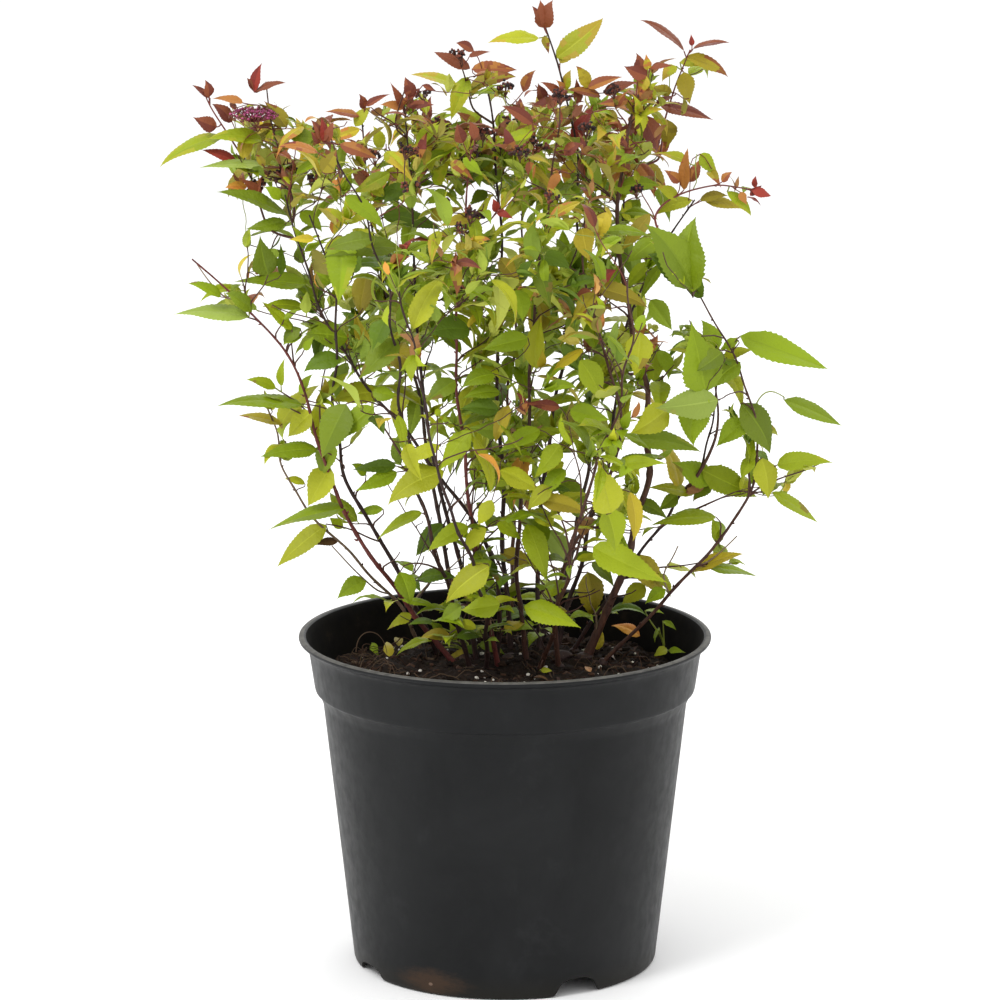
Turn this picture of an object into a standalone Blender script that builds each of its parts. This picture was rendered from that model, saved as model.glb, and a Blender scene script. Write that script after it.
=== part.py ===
"""Potted firelight japanese spirea: nursery pot, soil, woody root crown, stems and masses of foliage.

Metres, +Z up. The origin is the middle of the pot's underside on the floor.
The front of the plant faces -Y. Run in Blender 4.5 as a standalone script.
"""

import math

import bmesh
import bpy
from mathutils import Vector, noise
from mathutils.bvhtree import BVHTree

NAME = "potted_japanese_spirea"

# ---- pot: 26 cm nursery container -------------------------------------------------
POT_H = 0.2107          # overall height
POT_RIM_R = 0.1300      # outer edge of the out-turned lip
POT_FOOT_R = 0.0953     # outside of the foot ring
POT_WALL = 0.0019       # moulded wall
POT_BAND_Z = 0.1765     # lower edge of the plain band below the lip
POT_BAND_R = 0.1186     # band radius at that edge
POT_STEP_Z = 0.1660     # where the chamfer under the band meets the tapering body
POT_STEP_R = 0.1133     # body radius there
POT_FLOOR_Z = 0.0100    # underside of the raised floor inside the foot ring
NOTCH_COUNT = 4         # drain notches in the foot ring
NOTCH_FIRST = 28.0      # degrees from the front towards +X
NOTCH_WIDE = 0.0290
NOTCH_HIGH = 0.0088
POT_SIDES = 40

# ---- soil and root crown -----------------------------------------------------------
SOIL_EDGE_Z = 0.1800    # at the wall
SOIL_MID_Z = 0.1880     # over the root ball
SOIL_FLAT_R = 0.0760    # radius of the nearly level middle
GAP = 0.0004            # clear space kept between neighbouring solids
CROWN_AT = (0.008, 0.022)
CROWN_SIZE = (0.066, 0.036, 0.011)

# ---- stems: foot on the root crown, tip, bows of the side view ---------------------
# name: (foot x, foot y, tip x, tip y, tip z, bow, sway, crook, bow in depth, foot radius), metres
STEMS = {
    "stem_outer_left":     (-0.032, 0.010, -0.189, -0.060, 0.458, 0.0033, -0.0135, 0.0037, 0.000, 0.0030),
    "stem_left_dark":      (-0.042, 0.026, -0.117, -0.075, 0.487, -0.0190, -0.0050, 0.0058, 0.004, 0.0025),
    "stem_left_diagonal":  (-0.006, 0.010, -0.133, -0.045, 0.495, 0.0106, 0.0183, 0.0019, -0.002, 0.0025),
    "stem_left_thin":      (-0.052, 0.036, -0.158, 0.000, 0.392, -0.0170, 0.0050, 0.0053, 0.000, 0.0018),
    "stem_inner_left":     (-0.022, -0.002, -0.098, -0.110, 0.525, 0.0013, -0.0055, 0.0031, -0.006, 0.0023),
    "stem_centre_left":    (-0.018, 0.017, -0.061, -0.030, 0.548, -0.0100, 0.0003, 0.0021, 0.000, 0.0025),
    "stem_centre_red":     (-0.004, -0.002, -0.021, -0.085, 0.528, -0.0152, 0.0003, 0.0000, -0.008, 0.0024),
    "stem_centre_dark":    (0.004, 0.030, -0.013, 0.045, 0.561, 0.0015, -0.0034, 0.0013, 0.006, 0.0027),
    "stem_centre_right":   (0.014, 0.008, 0.033, -0.040, 0.540, -0.0104, -0.0016, -0.0018, -0.004, 0.0025),
    "stem_leader":         (0.022, 0.036, 0.026, 0.060, 0.590, 0.0155, -0.0102, -0.0001, 0.006, 0.0026),
    "stem_right_brown":    (0.052, 0.026, 0.082, 0.010, 0.549, 0.0173, 0.0145, -0.0025, 0.004, 0.0034),
    "stem_right_crooked":  (0.034, 0.004, 0.048, -0.070, 0.496, 0.0196, -0.0033, -0.0097, -0.006, 0.0024),
    "stem_right_diagonal": (0.033, 0.046, 0.119, 0.026, 0.482, -0.0100, 0.0081, -0.0033, 0.021, 0.0025),
    "stem_right_rising":   (0.044, 0.046, 0.131, 0.006, 0.394, 0.0229, -0.0056, -0.0004, 0.002, 0.0025),
    "stem_far_right":      (0.062, 0.014, 0.098, -0.040, 0.467, 0.0745, 0.0020, -0.0027, -0.004, 0.0026),
    "stem_front_left":     (-0.012, -0.006, -0.062, -0.165, 0.455, 0.0040, 0.0040, 0.0030, -0.022, 0.0023),
    "stem_front_right":    (0.022, -0.004, 0.072, -0.160, 0.462, 0.0060, -0.0040, 0.0030, -0.024, 0.0023),
    "stem_back_left":      (-0.024, 0.042, -0.092, 0.165, 0.520, -0.0060, 0.0040, -0.0030, 0.020, 0.0025),
    "stem_back_middle":    (0.002, 0.048, 0.002, 0.178, 0.505, 0.0050, -0.0040, 0.0040, 0.026, 0.0024),
    "stem_back_right":     (0.020, 0.050, 0.084, 0.162, 0.500, 0.0080, 0.0050, 0.0030, 0.018, 0.0025),
}
STEM_TIP_SHARE = 0.42   # tip radius as a share of the foot radius
STEM_POINTS = 8

# ---- masses of foliage ---------------------------------------------------------------
# name: (middle x, y, z, half width, half depth, half height, cut of the ball, unevenness)
MASSES = {
    "foliage_leader":            (0.027, 0.056, 0.584, 0.037, 0.024, 0.022, 2, 0.18),
    "foliage_upper_left":        (-0.146, -0.005, 0.517, 0.048, 0.055, 0.046, 3, 0.26),
    "foliage_left_tip":          (-0.193, -0.020, 0.515, 0.020, 0.020, 0.014, 2, 0.10),
    "foliage_upper_left_inner":  (-0.078, -0.035, 0.515, 0.042, 0.052, 0.049, 3, 0.26),
    "foliage_upper_middle":      (-0.016, 0.012, 0.531, 0.040, 0.050, 0.050, 3, 0.26),
    "foliage_upper_right":       (0.062, 0.016, 0.530, 0.045, 0.054, 0.049, 3, 0.26),
    "foliage_top_right":         (0.110, 0.060, 0.556, 0.033, 0.032, 0.028, 2, 0.18),
    "foliage_right_tip":         (0.134, 0.016, 0.492, 0.034, 0.038, 0.029, 2, 0.18),
    "foliage_front_upper_left":  (-0.048, -0.130, 0.468, 0.052, 0.048, 0.044, 3, 0.26),
    "foliage_front_upper_right": (0.052, -0.128, 0.466, 0.052, 0.048, 0.044, 3, 0.26),
    "foliage_back_upper_left":   (-0.090, 0.116, 0.498, 0.056, 0.052, 0.048, 3, 0.26),
    "foliage_back_upper_right":  (0.044, 0.118, 0.504, 0.060, 0.052, 0.048, 3, 0.26),
    "foliage_left":              (-0.158, -0.030, 0.426, 0.046, 0.048, 0.044, 3, 0.26),
    "foliage_left_inner":        (-0.078, -0.010, 0.417, 0.045, 0.056, 0.054, 3, 0.26),
    "foliage_middle":            (-0.003, -0.020, 0.420, 0.046, 0.056, 0.062, 3, 0.26),
    "foliage_right_inner":       (0.062, -0.010, 0.418, 0.042, 0.056, 0.060, 3, 0.26),
    "foliage_right":             (0.124, -0.006, 0.414, 0.038, 0.046, 0.044, 2, 0.20),
    "foliage_right_spray":       (0.174, 0.000, 0.387, 0.030, 0.022, 0.016, 2, 0.12),
    "foliage_lower_right":       (0.174, 0.006, 0.322, 0.039, 0.034, 0.037, 2, 0.18),
    "foliage_right_foot":        (0.138, 0.024, 0.257, 0.028, 0.020, 0.012, 2, 0.10),
    "foliage_front_left":        (-0.060, -0.132, 0.374, 0.044, 0.040, 0.040, 2, 0.20),
    "foliage_front_right":       (0.052, -0.134, 0.368, 0.048, 0.042, 0.042, 2, 0.20),
    "foliage_back_left":         (-0.078, 0.128, 0.398, 0.048, 0.044, 0.044, 2, 0.20),
    "foliage_back_right":        (0.056, 0.130, 0.402, 0.052, 0.046, 0.044, 2, 0.20),
    "foliage_lower_middle":      (0.010, -0.012, 0.322, 0.058, 0.052, 0.034, 2, 0.20),
    "foliage_lower_right_inner": (0.082, -0.030, 0.306, 0.034, 0.034, 0.034, 2, 0.20),
    "foliage_lower_left":        (-0.151, -0.030, 0.351, 0.031, 0.026, 0.018, 2, 0.12),
    "foliage_left_foot":         (-0.141, 0.028, 0.270, 0.020, 0.018, 0.020, 2, 0.12),
    "foliage_lower_back":        (0.000, 0.116, 0.316, 0.040, 0.036, 0.030, 2, 0.20),
    "foliage_basal_left":        (-0.052, -0.030, 0.2055, 0.025, 0.018, 0.0115, 2, 0.06),
    "foliage_basal_right":       (0.100, -0.014, 0.2035, 0.012, 0.013, 0.0120, 2, 0.06),
}

# ---- colours (linear) ------------------------------------------------------------------
COLOURS = {
    "black_plastic": ((0.028, 0.029, 0.031), 0.45),
    "potting_mix": ((0.020, 0.012, 0.008), 0.95),
    "brown_bark": ((0.090, 0.040, 0.026), 0.75),
    "green_leaves": ((0.260, 0.330, 0.030), 0.60),
    "bronze_leaves": ((0.270, 0.110, 0.045), 0.60),
}


# ---- helpers -----------------------------------------------------------------------------
def clear_scene():
    for ob in list(bpy.data.objects):
        bpy.data.objects.remove(ob, do_unlink=True)


def material(node, kind):
    """A Principled material of its own for one sub-part."""
    colour, rough = COLOURS[kind]
    mat = bpy.data.materials.new(node + "_" + kind)
    mat.use_nodes = True
    shader = mat.node_tree.nodes["Principled BSDF"]
    shader.inputs["Base Color"].default_value = (*colour, 1.0)
    shader.inputs["Roughness"].default_value = rough
    return mat


def new_object(name, mesh, kind, home):
    ob = bpy.data.objects.new(name, mesh)
    mesh.materials.append(material(name, kind))
    home.objects.link(ob)
    return ob


def soil_height(x, y):
    """Level middle over the root ball, easing down to the wall."""
    r = math.hypot(x, y)
    if r <= SOIL_FLAT_R:
        return SOIL_MID_Z
    u = min((r - SOIL_FLAT_R) / (wall_inside(SOIL_EDGE_Z) - SOIL_FLAT_R), 1.0)
    return SOIL_MID_Z + (SOIL_EDGE_Z - SOIL_MID_Z) * (1 - math.cos(u * math.pi)) / 2


def outer_profile():
    """Outside of the pot from the top of the lip down to the floor."""
    lip = POT_RIM_R
    return [
        (lip - 0.0008, POT_H),
        (lip, POT_H - 0.0010),
        (lip - 0.0004, POT_H - 0.0026),
        (lip - 0.0046, POT_H - 0.0034),
        (lip - 0.0078, POT_H - 0.0062),
        (POT_BAND_R + 0.0027, POT_H - 0.0130),
        (POT_BAND_R, POT_BAND_Z),
        (POT_BAND_R - 0.0010, POT_BAND_Z - 0.0030),
        (POT_STEP_R, POT_STEP_Z),
        (POT_FOOT_R + 0.0006, 0.0040),
        (POT_FOOT_R, 0.0012),
        (POT_FOOT_R - 0.0012, 0.0),
    ]


def wall_inside(z):
    """Inner radius of the tapering body at a height."""
    t = (z - 0.004) / (POT_STEP_Z - 0.004)
    if z > POT_BAND_Z:
        return POT_BAND_R - POT_WALL
    return POT_FOOT_R + 0.0006 + (POT_STEP_R - POT_FOOT_R - 0.0006) * min(t, 1.0) - POT_WALL


def pot_profile():
    w = POT_WALL
    inner_top = [
        (POT_FOOT_R - 0.0012 - w, 0.0),
        (POT_FOOT_R - w + 0.0004, POT_FLOOR_Z - 0.0016),
        (POT_FOOT_R - w - 0.0010, POT_FLOOR_Z),
        (0.0, POT_FLOOR_Z),
        (0.0, POT_FLOOR_Z + w),
        (wall_inside(POT_FLOOR_Z + w) - 0.0020, POT_FLOOR_Z + w),
        (wall_inside(POT_FLOOR_Z + w + 0.002), POT_FLOOR_Z + w + 0.0020),
        (POT_STEP_R - w, POT_STEP_Z),
        (POT_BAND_R - 0.0012 - w, POT_BAND_Z - 0.0034),
        (POT_BAND_R - w, POT_BAND_Z),
        (POT_BAND_R + 0.0027 - w, POT_H - 0.0130),
        (POT_RIM_R - 0.0088, POT_H - 0.0040),
        (POT_RIM_R - 0.0056, POT_H - 0.0008),
        (POT_RIM_R - 0.0040, POT_H),
    ]
    return outer_profile() + inner_top


def lathe(name, profile, sides, kind, home, closed):
    """A Screw modifier turns the profile, given at +X from the top down the outside."""
    mesh = bpy.data.meshes.new(name)
    points = [(r, 0.0, z) for r, z in profile]
    edges = [(i, i + 1) for i in range(len(points) - 1)]
    if closed:
        edges.append((len(points) - 1, 0))
    mesh.from_pydata(points, edges, [])
    ob = new_object(name, mesh, kind, home)
    turn = ob.modifiers.new("turn", "SCREW")
    turn.axis = "Z"
    turn.steps = turn.render_steps = sides
    turn.use_merge_vertices = True
    turn.merge_threshold = 0.0001
    turn.use_normal_calculate = False
    return ob


def notch_cutter(index, home):
    """A rounded slot across the foot ring."""
    name = "notch_cutter_%d" % index
    mesh = bpy.data.meshes.new(name)
    bm = bmesh.new()
    half, high, round_r, steps = NOTCH_WIDE / 2, NOTCH_HIGH, 0.0045, 4
    outline = [(-half, -0.004), (half, -0.004)]
    for k in range(steps + 1):
        a = math.pi / 2 * k / steps
        outline.append((half - round_r + round_r * math.cos(a), high - round_r + round_r * math.sin(a)))
    for k in range(steps + 1):
        a = math.pi / 2 + math.pi / 2 * k / steps
        outline.append((-half + round_r + round_r * math.cos(a), high - round_r + round_r * math.sin(a)))
    near, far = POT_FOOT_R - 0.010, POT_FOOT_R + 0.010
    ends = []
    for y in (-far, -near):
        ends.append([bm.verts.new((x, y, z)) for x, z in outline])
    n = len(outline)
    bm.faces.new(ends[0])
    bm.faces.new(list(reversed(ends[1])))
    for i in range(n):
        j = (i + 1) % n
        bm.faces.new((ends[0][i], ends[1][i], ends[1][j], ends[0][j]))
    bmesh.ops.recalc_face_normals(bm, faces=bm.faces)
    bm.to_mesh(mesh)
    bm.free()
    ob = bpy.data.objects.new(name, mesh)
    ob.hide_render = True
    ob.display_type = "WIRE"
    ob.rotation_euler = (0, 0, math.radians(NOTCH_FIRST + 360.0 / NOTCH_COUNT * index))
    home.objects.link(ob)
    return ob


def stem_point(spec, t):
    """A point of the stem's full run: a straight line from foot to tip, bowed three ways."""
    fx, fy, tx, ty, tz, bow, sway, crook, deep, _ = spec
    s1, s2, s3 = (math.sin(k * math.pi * t) for k in (1, 2, 3))
    x = fx + (tx - fx) * t + bow * s1 + sway * s2 + crook * s3
    y = fy + (ty - fy) * t + deep * s1
    return Vector((x, y, FOOT_Z + (tz - FOOT_Z) * t))


FOOT_Z = SOIL_MID_Z


def stem_radius(spec, t):
    return spec[9] * (1 - (1 - STEM_TIP_SHARE) * t)


def uneven(direction, seed, amount):
    """Seeded lumps over the ball."""
    p = direction * 1.35 + Vector((seed * 3.1, seed * 1.7, seed * 0.9))
    q = direction * 3.1 + Vector((seed * 1.3, -seed * 2.1, seed * 2.9))
    return 1.0 + amount * (noise.noise(p) * 1.5 + noise.noise(q) * 0.7)


def mass_shell(name, index, table, keep_out):
    """Points and faces of one mass: an uneven ball trimmed by planes between it and its neighbours."""
    x, y, z, a, b, c, cut, amount = table[name]
    middle = Vector((x, y, z))
    size = Vector((a, b, c))

    def reach(spec, direction):
        u = Vector((direction.x / spec[3], direction.y / spec[4], direction.z / spec[5]))
        return 1.0 / u.length

    planes = []
    for other, spec in table.items():
        if other == name:
            continue
        away = Vector(spec[:3]) - middle
        far = away.length
        n = away / far
        mine, theirs = reach(table[name], n), reach(spec, n)
        if far > 1.45 * (mine + theirs):
            continue
        planes.append((n, far * mine / (mine + theirs) - 0.0010))
    bm = bmesh.new()
    bmesh.ops.create_icosphere(bm, subdivisions=cut, radius=1.0)
    for v in bm.verts:
        d = v.co.normalized()
        p = Vector((d.x * size.x, d.y * size.y, d.z * size.z)) * uneven(d, index + 1, amount)
        length = p.length
        n_dir = p / length
        for n, off in planes:
            along = n_dir.dot(n)
            if along > 1e-6:
                length = min(length, off / along)
        v.co = middle + n_dir * length
        v.co.z = max(v.co.z, keep_out(v.co.x, v.co.y))
    bmesh.ops.recalc_face_normals(bm, faces=bm.faces)
    return bm


def tube(name, points, radii, kind, home):
    """A tapering limb: a poly curve with a round bevel and filled ends, kept as a mesh."""
    curve = bpy.data.curves.new(name + "_run", "CURVE")
    curve.dimensions = "3D"
    curve.bevel_depth = 1.0
    curve.bevel_resolution = 1
    curve.use_fill_caps = True
    line = curve.splines.new("POLY")
    line.points.add(len(points) - 1)
    for pt, p, r in zip(line.points, points, radii):
        pt.co = (*p, 1.0)
        pt.radius = r
    guide = bpy.data.objects.new(name + "_guide", curve)
    home.objects.link(guide)
    bpy.context.view_layer.update()
    graph = bpy.context.evaluated_depsgraph_get()
    mesh = bpy.data.meshes.new_from_object(guide.evaluated_get(graph))
    bpy.data.objects.remove(guide, do_unlink=True)
    mesh.name = name
    bm = bmesh.new()
    bm.from_mesh(mesh)
    bmesh.ops.remove_doubles(bm, verts=bm.verts, dist=0.00002)
    bmesh.ops.recalc_face_normals(bm, faces=bm.faces)
    bm.to_mesh(mesh)
    bm.free()
    mesh.materials.clear()
    return new_object(name, mesh, kind, home)


# ---- build -----------------------------------------------------------------------------------
clear_scene()
home = bpy.data.collections.new(NAME)
bpy.context.scene.collection.children.link(home)
tools = bpy.data.collections.new("cutters")
bpy.context.scene.collection.children.link(tools)

pot = lathe("pot", pot_profile(), POT_SIDES, "black_plastic", home, closed=True)
for k in range(NOTCH_COUNT):
    cut = pot.modifiers.new("notch_%d" % k, "BOOLEAN")
    cut.operation = "DIFFERENCE"
    cut.solver = "EXACT"
    cut.object = notch_cutter(k, tools)

# soil: fills the pot up to a little below the lip, clear of the wall and the floor
floor_z = POT_FLOOR_Z + POT_WALL + GAP
soil_rows = [(0.0, SOIL_MID_Z), (SOIL_FLAT_R, SOIL_MID_Z)]
wall_r = wall_inside(POT_STEP_Z) - GAP
for k in (1, 2, 3):
    r = SOIL_FLAT_R + (wall_r - SOIL_FLAT_R) * k / 3
    soil_rows.append((r, soil_height(r, 0.0)))
soil_rows.append((wall_r, POT_STEP_Z))
soil_rows.append((wall_inside(floor_z + 0.003) - GAP, floor_z + 0.003))
soil_rows.append((wall_inside(floor_z + 0.003) - GAP - 0.003, floor_z))
soil_rows.append((0.0, floor_z))
lathe("potting_soil", soil_rows, POT_SIDES, "potting_mix", home, closed=False)

# root crown: the low woody stool that every stem rises from
bm = bmesh.new()
bmesh.ops.create_icosphere(bm, subdivisions=3, radius=1.0)
for v in bm.verts:
    d = v.co.normalized()
    swell = uneven(d, 41, 0.16)
    v.co = Vector((CROWN_AT[0] + d.x * CROWN_SIZE[0] * swell, CROWN_AT[1] + d.y * CROWN_SIZE[1] * swell,
                   SOIL_MID_Z + GAP + max(d.z, 0.0) * CROWN_SIZE[2] * swell))
bmesh.ops.remove_doubles(bm, verts=bm.verts, dist=0.00005)
low = [f for f in bm.faces if all(v.co.z < SOIL_MID_Z + GAP + 1e-6 for v in f.verts)]
bmesh.ops.delete(bm, geom=low, context="FACES")
rim = [e for e in bm.edges if e.is_boundary]
bmesh.ops.holes_fill(bm, edges=rim, sides=0)
bmesh.ops.recalc_face_normals(bm, faces=bm.faces)
crown_mesh = bpy.data.meshes.new("root_crown")
bm.to_mesh(crown_mesh)
crown_tree = BVHTree.FromBMesh(bm)
bm.free()
new_object("root_crown", crown_mesh, "brown_bark", home)


# masses of foliage, each trimmed back from its neighbours
def floor_for(x, y):
    r = math.hypot(x, y)
    return (soil_height(x, y) + 0.0012) if r < POT_BAND_R - POT_WALL - 0.003 else POT_H + 0.004


trees = {}
for index, name in enumerate(MASSES):
    bm = mass_shell(name, index, MASSES, floor_for)
    mesh = bpy.data.meshes.new(name)
    bm.to_mesh(mesh)
    trees[name] = BVHTree.FromBMesh(bm)
    bm.free()
    top = MASSES[name][2] > 0.46
    new_object(name, mesh, "bronze_leaves" if top else "green_leaves", home)

# stems: each ends where it first enters a mass
for name, spec in STEMS.items():
    steps = 960
    start = end = None
    for i in range(steps + 1):
        t = i / steps
        p, r = stem_point(spec, t), stem_radius(spec, t)
        if start is None:
            near = crown_tree.find_nearest(p, 0.05)
            inside = crown_tree.ray_cast(p, Vector((0, 0, 1)))[0] is not None
            if inside or (near[0] is not None and near[3] < r + 0.0006) or p.z < SOIL_MID_Z + r + 0.0006:
                continue
            start = t
        hits = [tree.find_nearest(p, r + 0.0007)[0] for tree in trees.values()]
        if any(h is not None for h in hits):
            break
        end = t
    span = end - start
    ts = [start + span * k / (STEM_POINTS - 1) for k in range(STEM_POINTS)]
    tube(name, [stem_point(spec, t) for t in ts], [stem_radius(spec, t) for t in ts], "brown_bark", home)
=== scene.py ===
"""Potted firelight japanese spirea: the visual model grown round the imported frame.

Everything is in metres in the frame's own axes: +Z up, the photographed front faces -Y.
Leaves, twigs and seed heads grow on from the stems by a seeded rule; the leaves that
stand out in the photograph are set by where they are seen, on the limb that carries them.
"""

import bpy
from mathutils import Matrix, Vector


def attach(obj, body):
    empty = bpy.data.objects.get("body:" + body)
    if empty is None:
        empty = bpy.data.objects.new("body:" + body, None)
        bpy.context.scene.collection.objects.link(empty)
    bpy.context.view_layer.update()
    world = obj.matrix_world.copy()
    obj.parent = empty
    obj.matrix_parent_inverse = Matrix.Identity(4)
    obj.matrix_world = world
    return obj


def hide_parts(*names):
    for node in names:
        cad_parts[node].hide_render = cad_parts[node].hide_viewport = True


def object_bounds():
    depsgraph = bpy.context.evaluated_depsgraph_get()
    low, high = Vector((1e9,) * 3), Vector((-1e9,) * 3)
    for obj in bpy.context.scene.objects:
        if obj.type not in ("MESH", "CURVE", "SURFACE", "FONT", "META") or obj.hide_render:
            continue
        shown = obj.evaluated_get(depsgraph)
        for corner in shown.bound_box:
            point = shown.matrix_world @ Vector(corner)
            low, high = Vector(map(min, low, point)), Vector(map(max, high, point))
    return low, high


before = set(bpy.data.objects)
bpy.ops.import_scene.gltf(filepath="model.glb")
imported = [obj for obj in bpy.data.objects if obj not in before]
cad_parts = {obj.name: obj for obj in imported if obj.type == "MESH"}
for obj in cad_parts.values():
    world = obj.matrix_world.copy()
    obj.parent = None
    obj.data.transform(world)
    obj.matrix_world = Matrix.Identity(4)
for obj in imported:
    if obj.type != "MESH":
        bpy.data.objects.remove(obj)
CAD_BOX = [list(map(float, c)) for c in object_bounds()]

import math
import random

import bmesh
import bpy
import numpy as np
from mathutils import Matrix, Vector

RNG = np.random.default_rng(20261130)
random.seed(20261130)

# ------------------------------------------------------------------ camera of the photograph
CAM_DIST = 2.80
CAM_PITCH = math.radians(11.888)
CAM_FOCAL = 4468.9          # pixels over a 1000 pixel frame
CAM_AIM = np.array([-0.00313, 0.0, 0.2962])
FORWARD = np.array([0.0, math.cos(CAM_PITCH), -math.sin(CAM_PITCH)])
UPWARD = np.array([0.0, math.sin(CAM_PITCH), math.cos(CAM_PITCH)])
RIGHT = np.array([1.0, 0.0, 0.0])
CAM_AT = CAM_AIM - CAM_DIST * FORWARD


def spot(px, py, y):
    """The point at depth y that the photograph's camera sees at a pixel."""
    d = FORWARD + (px - 500) / CAM_FOCAL * RIGHT + (500 - py) / CAM_FOCAL * UPWARD
    return CAM_AT + d * ((y - CAM_AT[1]) / d[1])


def seen(points):
    """Pixels at which the photograph's camera sees some points."""
    d = np.asarray(points, float) - CAM_AT
    dep = d @ FORWARD
    return np.stack([500 + CAM_FOCAL * (d @ RIGHT) / dep, 500 - CAM_FOCAL * (d @ UPWARD) / dep], -1)


# ------------------------------------------------------------------ named sizes: those of the CAD, the pot's to a tenth of a millimetre as the photograph's edges show them
POT_H, POT_RIM_R, POT_FOOT_R, POT_WALL = 0.2107, 0.1300, 0.0959, 0.0019
POT_BAND_Z, POT_BAND_R, POT_STEP_Z, POT_STEP_R = 0.1785, 0.1200, 0.1664, 0.1146
POT_FLOOR_Z = 0.0100
NOTCH_COUNT, NOTCH_FIRST = 4, 28.0
SOIL_EDGE_Z, SOIL_MID_Z, SOIL_FLAT_R = 0.1800, 0.1880, 0.0760
FOOT_Z = SOIL_MID_Z

# name: (foot x, foot y, tip x, tip y, tip z, bow, sway, crook, bow in depth, foot radius, bark)
STEMS = {
    "stem_outer_left":     (-0.032, 0.010, -0.189, -0.060, 0.458, 0.0033, -0.0135, 0.0037, 0.000, 0.0030, "red"),
    "stem_left_dark":      (-0.042, 0.026, -0.117, -0.075, 0.487, -0.0190, -0.0050, 0.0058, 0.004, 0.0025, "dark"),
    "stem_left_diagonal":  (-0.006, 0.010, -0.133, -0.045, 0.495, 0.0106, 0.0183, 0.0019, -0.002, 0.0025, "dark"),
    "stem_left_thin":      (-0.052, 0.036, -0.158, 0.000, 0.392, -0.0170, 0.0050, 0.0053, 0.000, 0.0018, "grey"),
    "stem_inner_left":     (-0.022, -0.002, -0.098, -0.110, 0.525, 0.0013, -0.0055, 0.0031, -0.006, 0.0023, "dark"),
    "stem_centre_left":    (-0.018, 0.017, -0.061, -0.030, 0.548, -0.0100, 0.0003, 0.0021, 0.000, 0.0025, "dark"),
    "stem_centre_red":     (-0.004, -0.002, -0.021, -0.085, 0.528, -0.0152, 0.0003, 0.0000, -0.008, 0.0024, "red"),
    "stem_centre_dark":    (0.004, 0.030, -0.013, 0.045, 0.561, 0.0015, -0.0034, 0.0013, 0.006, 0.0027, "dark"),
    "stem_centre_right":   (0.014, 0.008, 0.033, -0.040, 0.540, -0.0104, -0.0016, -0.0018, -0.004, 0.0025, "brown"),
    "stem_leader":         (0.022, 0.036, 0.026, 0.060, 0.590, 0.0155, -0.0102, -0.0001, 0.006, 0.0026, "dark"),
    "stem_right_brown":    (0.052, 0.026, 0.082, 0.010, 0.549, 0.0173, 0.0145, -0.0025, 0.004, 0.0034, "brown"),
    "stem_right_crooked":  (0.034, 0.004, 0.048, -0.070, 0.496, 0.0196, -0.0033, -0.0097, -0.006, 0.0024, "brown"),
    "stem_right_diagonal": (0.033, 0.046, 0.119, 0.026, 0.482, -0.0100, 0.0081, -0.0033, 0.021, 0.0025, "dark"),
    "stem_right_rising":   (0.044, 0.046, 0.131, 0.006, 0.394, 0.0229, -0.0056, -0.0004, 0.002, 0.0025, "dark"),
    "stem_far_right":      (0.062, 0.014, 0.098, -0.040, 0.467, 0.0745, 0.0020, -0.0027, -0.004, 0.0026, "brown"),
    "stem_front_left":     (-0.012, -0.006, -0.062, -0.165, 0.455, 0.0040, 0.0040, 0.0030, -0.022, 0.0023, "dark"),
    "stem_front_right":    (0.022, -0.004, 0.072, -0.160, 0.462, 0.0060, -0.0040, 0.0030, -0.024, 0.0023, "brown"),
    "stem_back_left":      (-0.024, 0.042, -0.092, 0.165, 0.520, -0.0060, 0.0040, -0.0030, 0.020, 0.0025, "dark"),
    "stem_back_middle":    (0.002, 0.048, 0.002, 0.178, 0.505, 0.0050, -0.0040, 0.0040, 0.026, 0.0024, "brown"),
    "stem_back_right":     (0.020, 0.050, 0.084, 0.162, 0.500, 0.0080, 0.0050, 0.0030, 0.018, 0.0025, "dark"),
}

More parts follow.
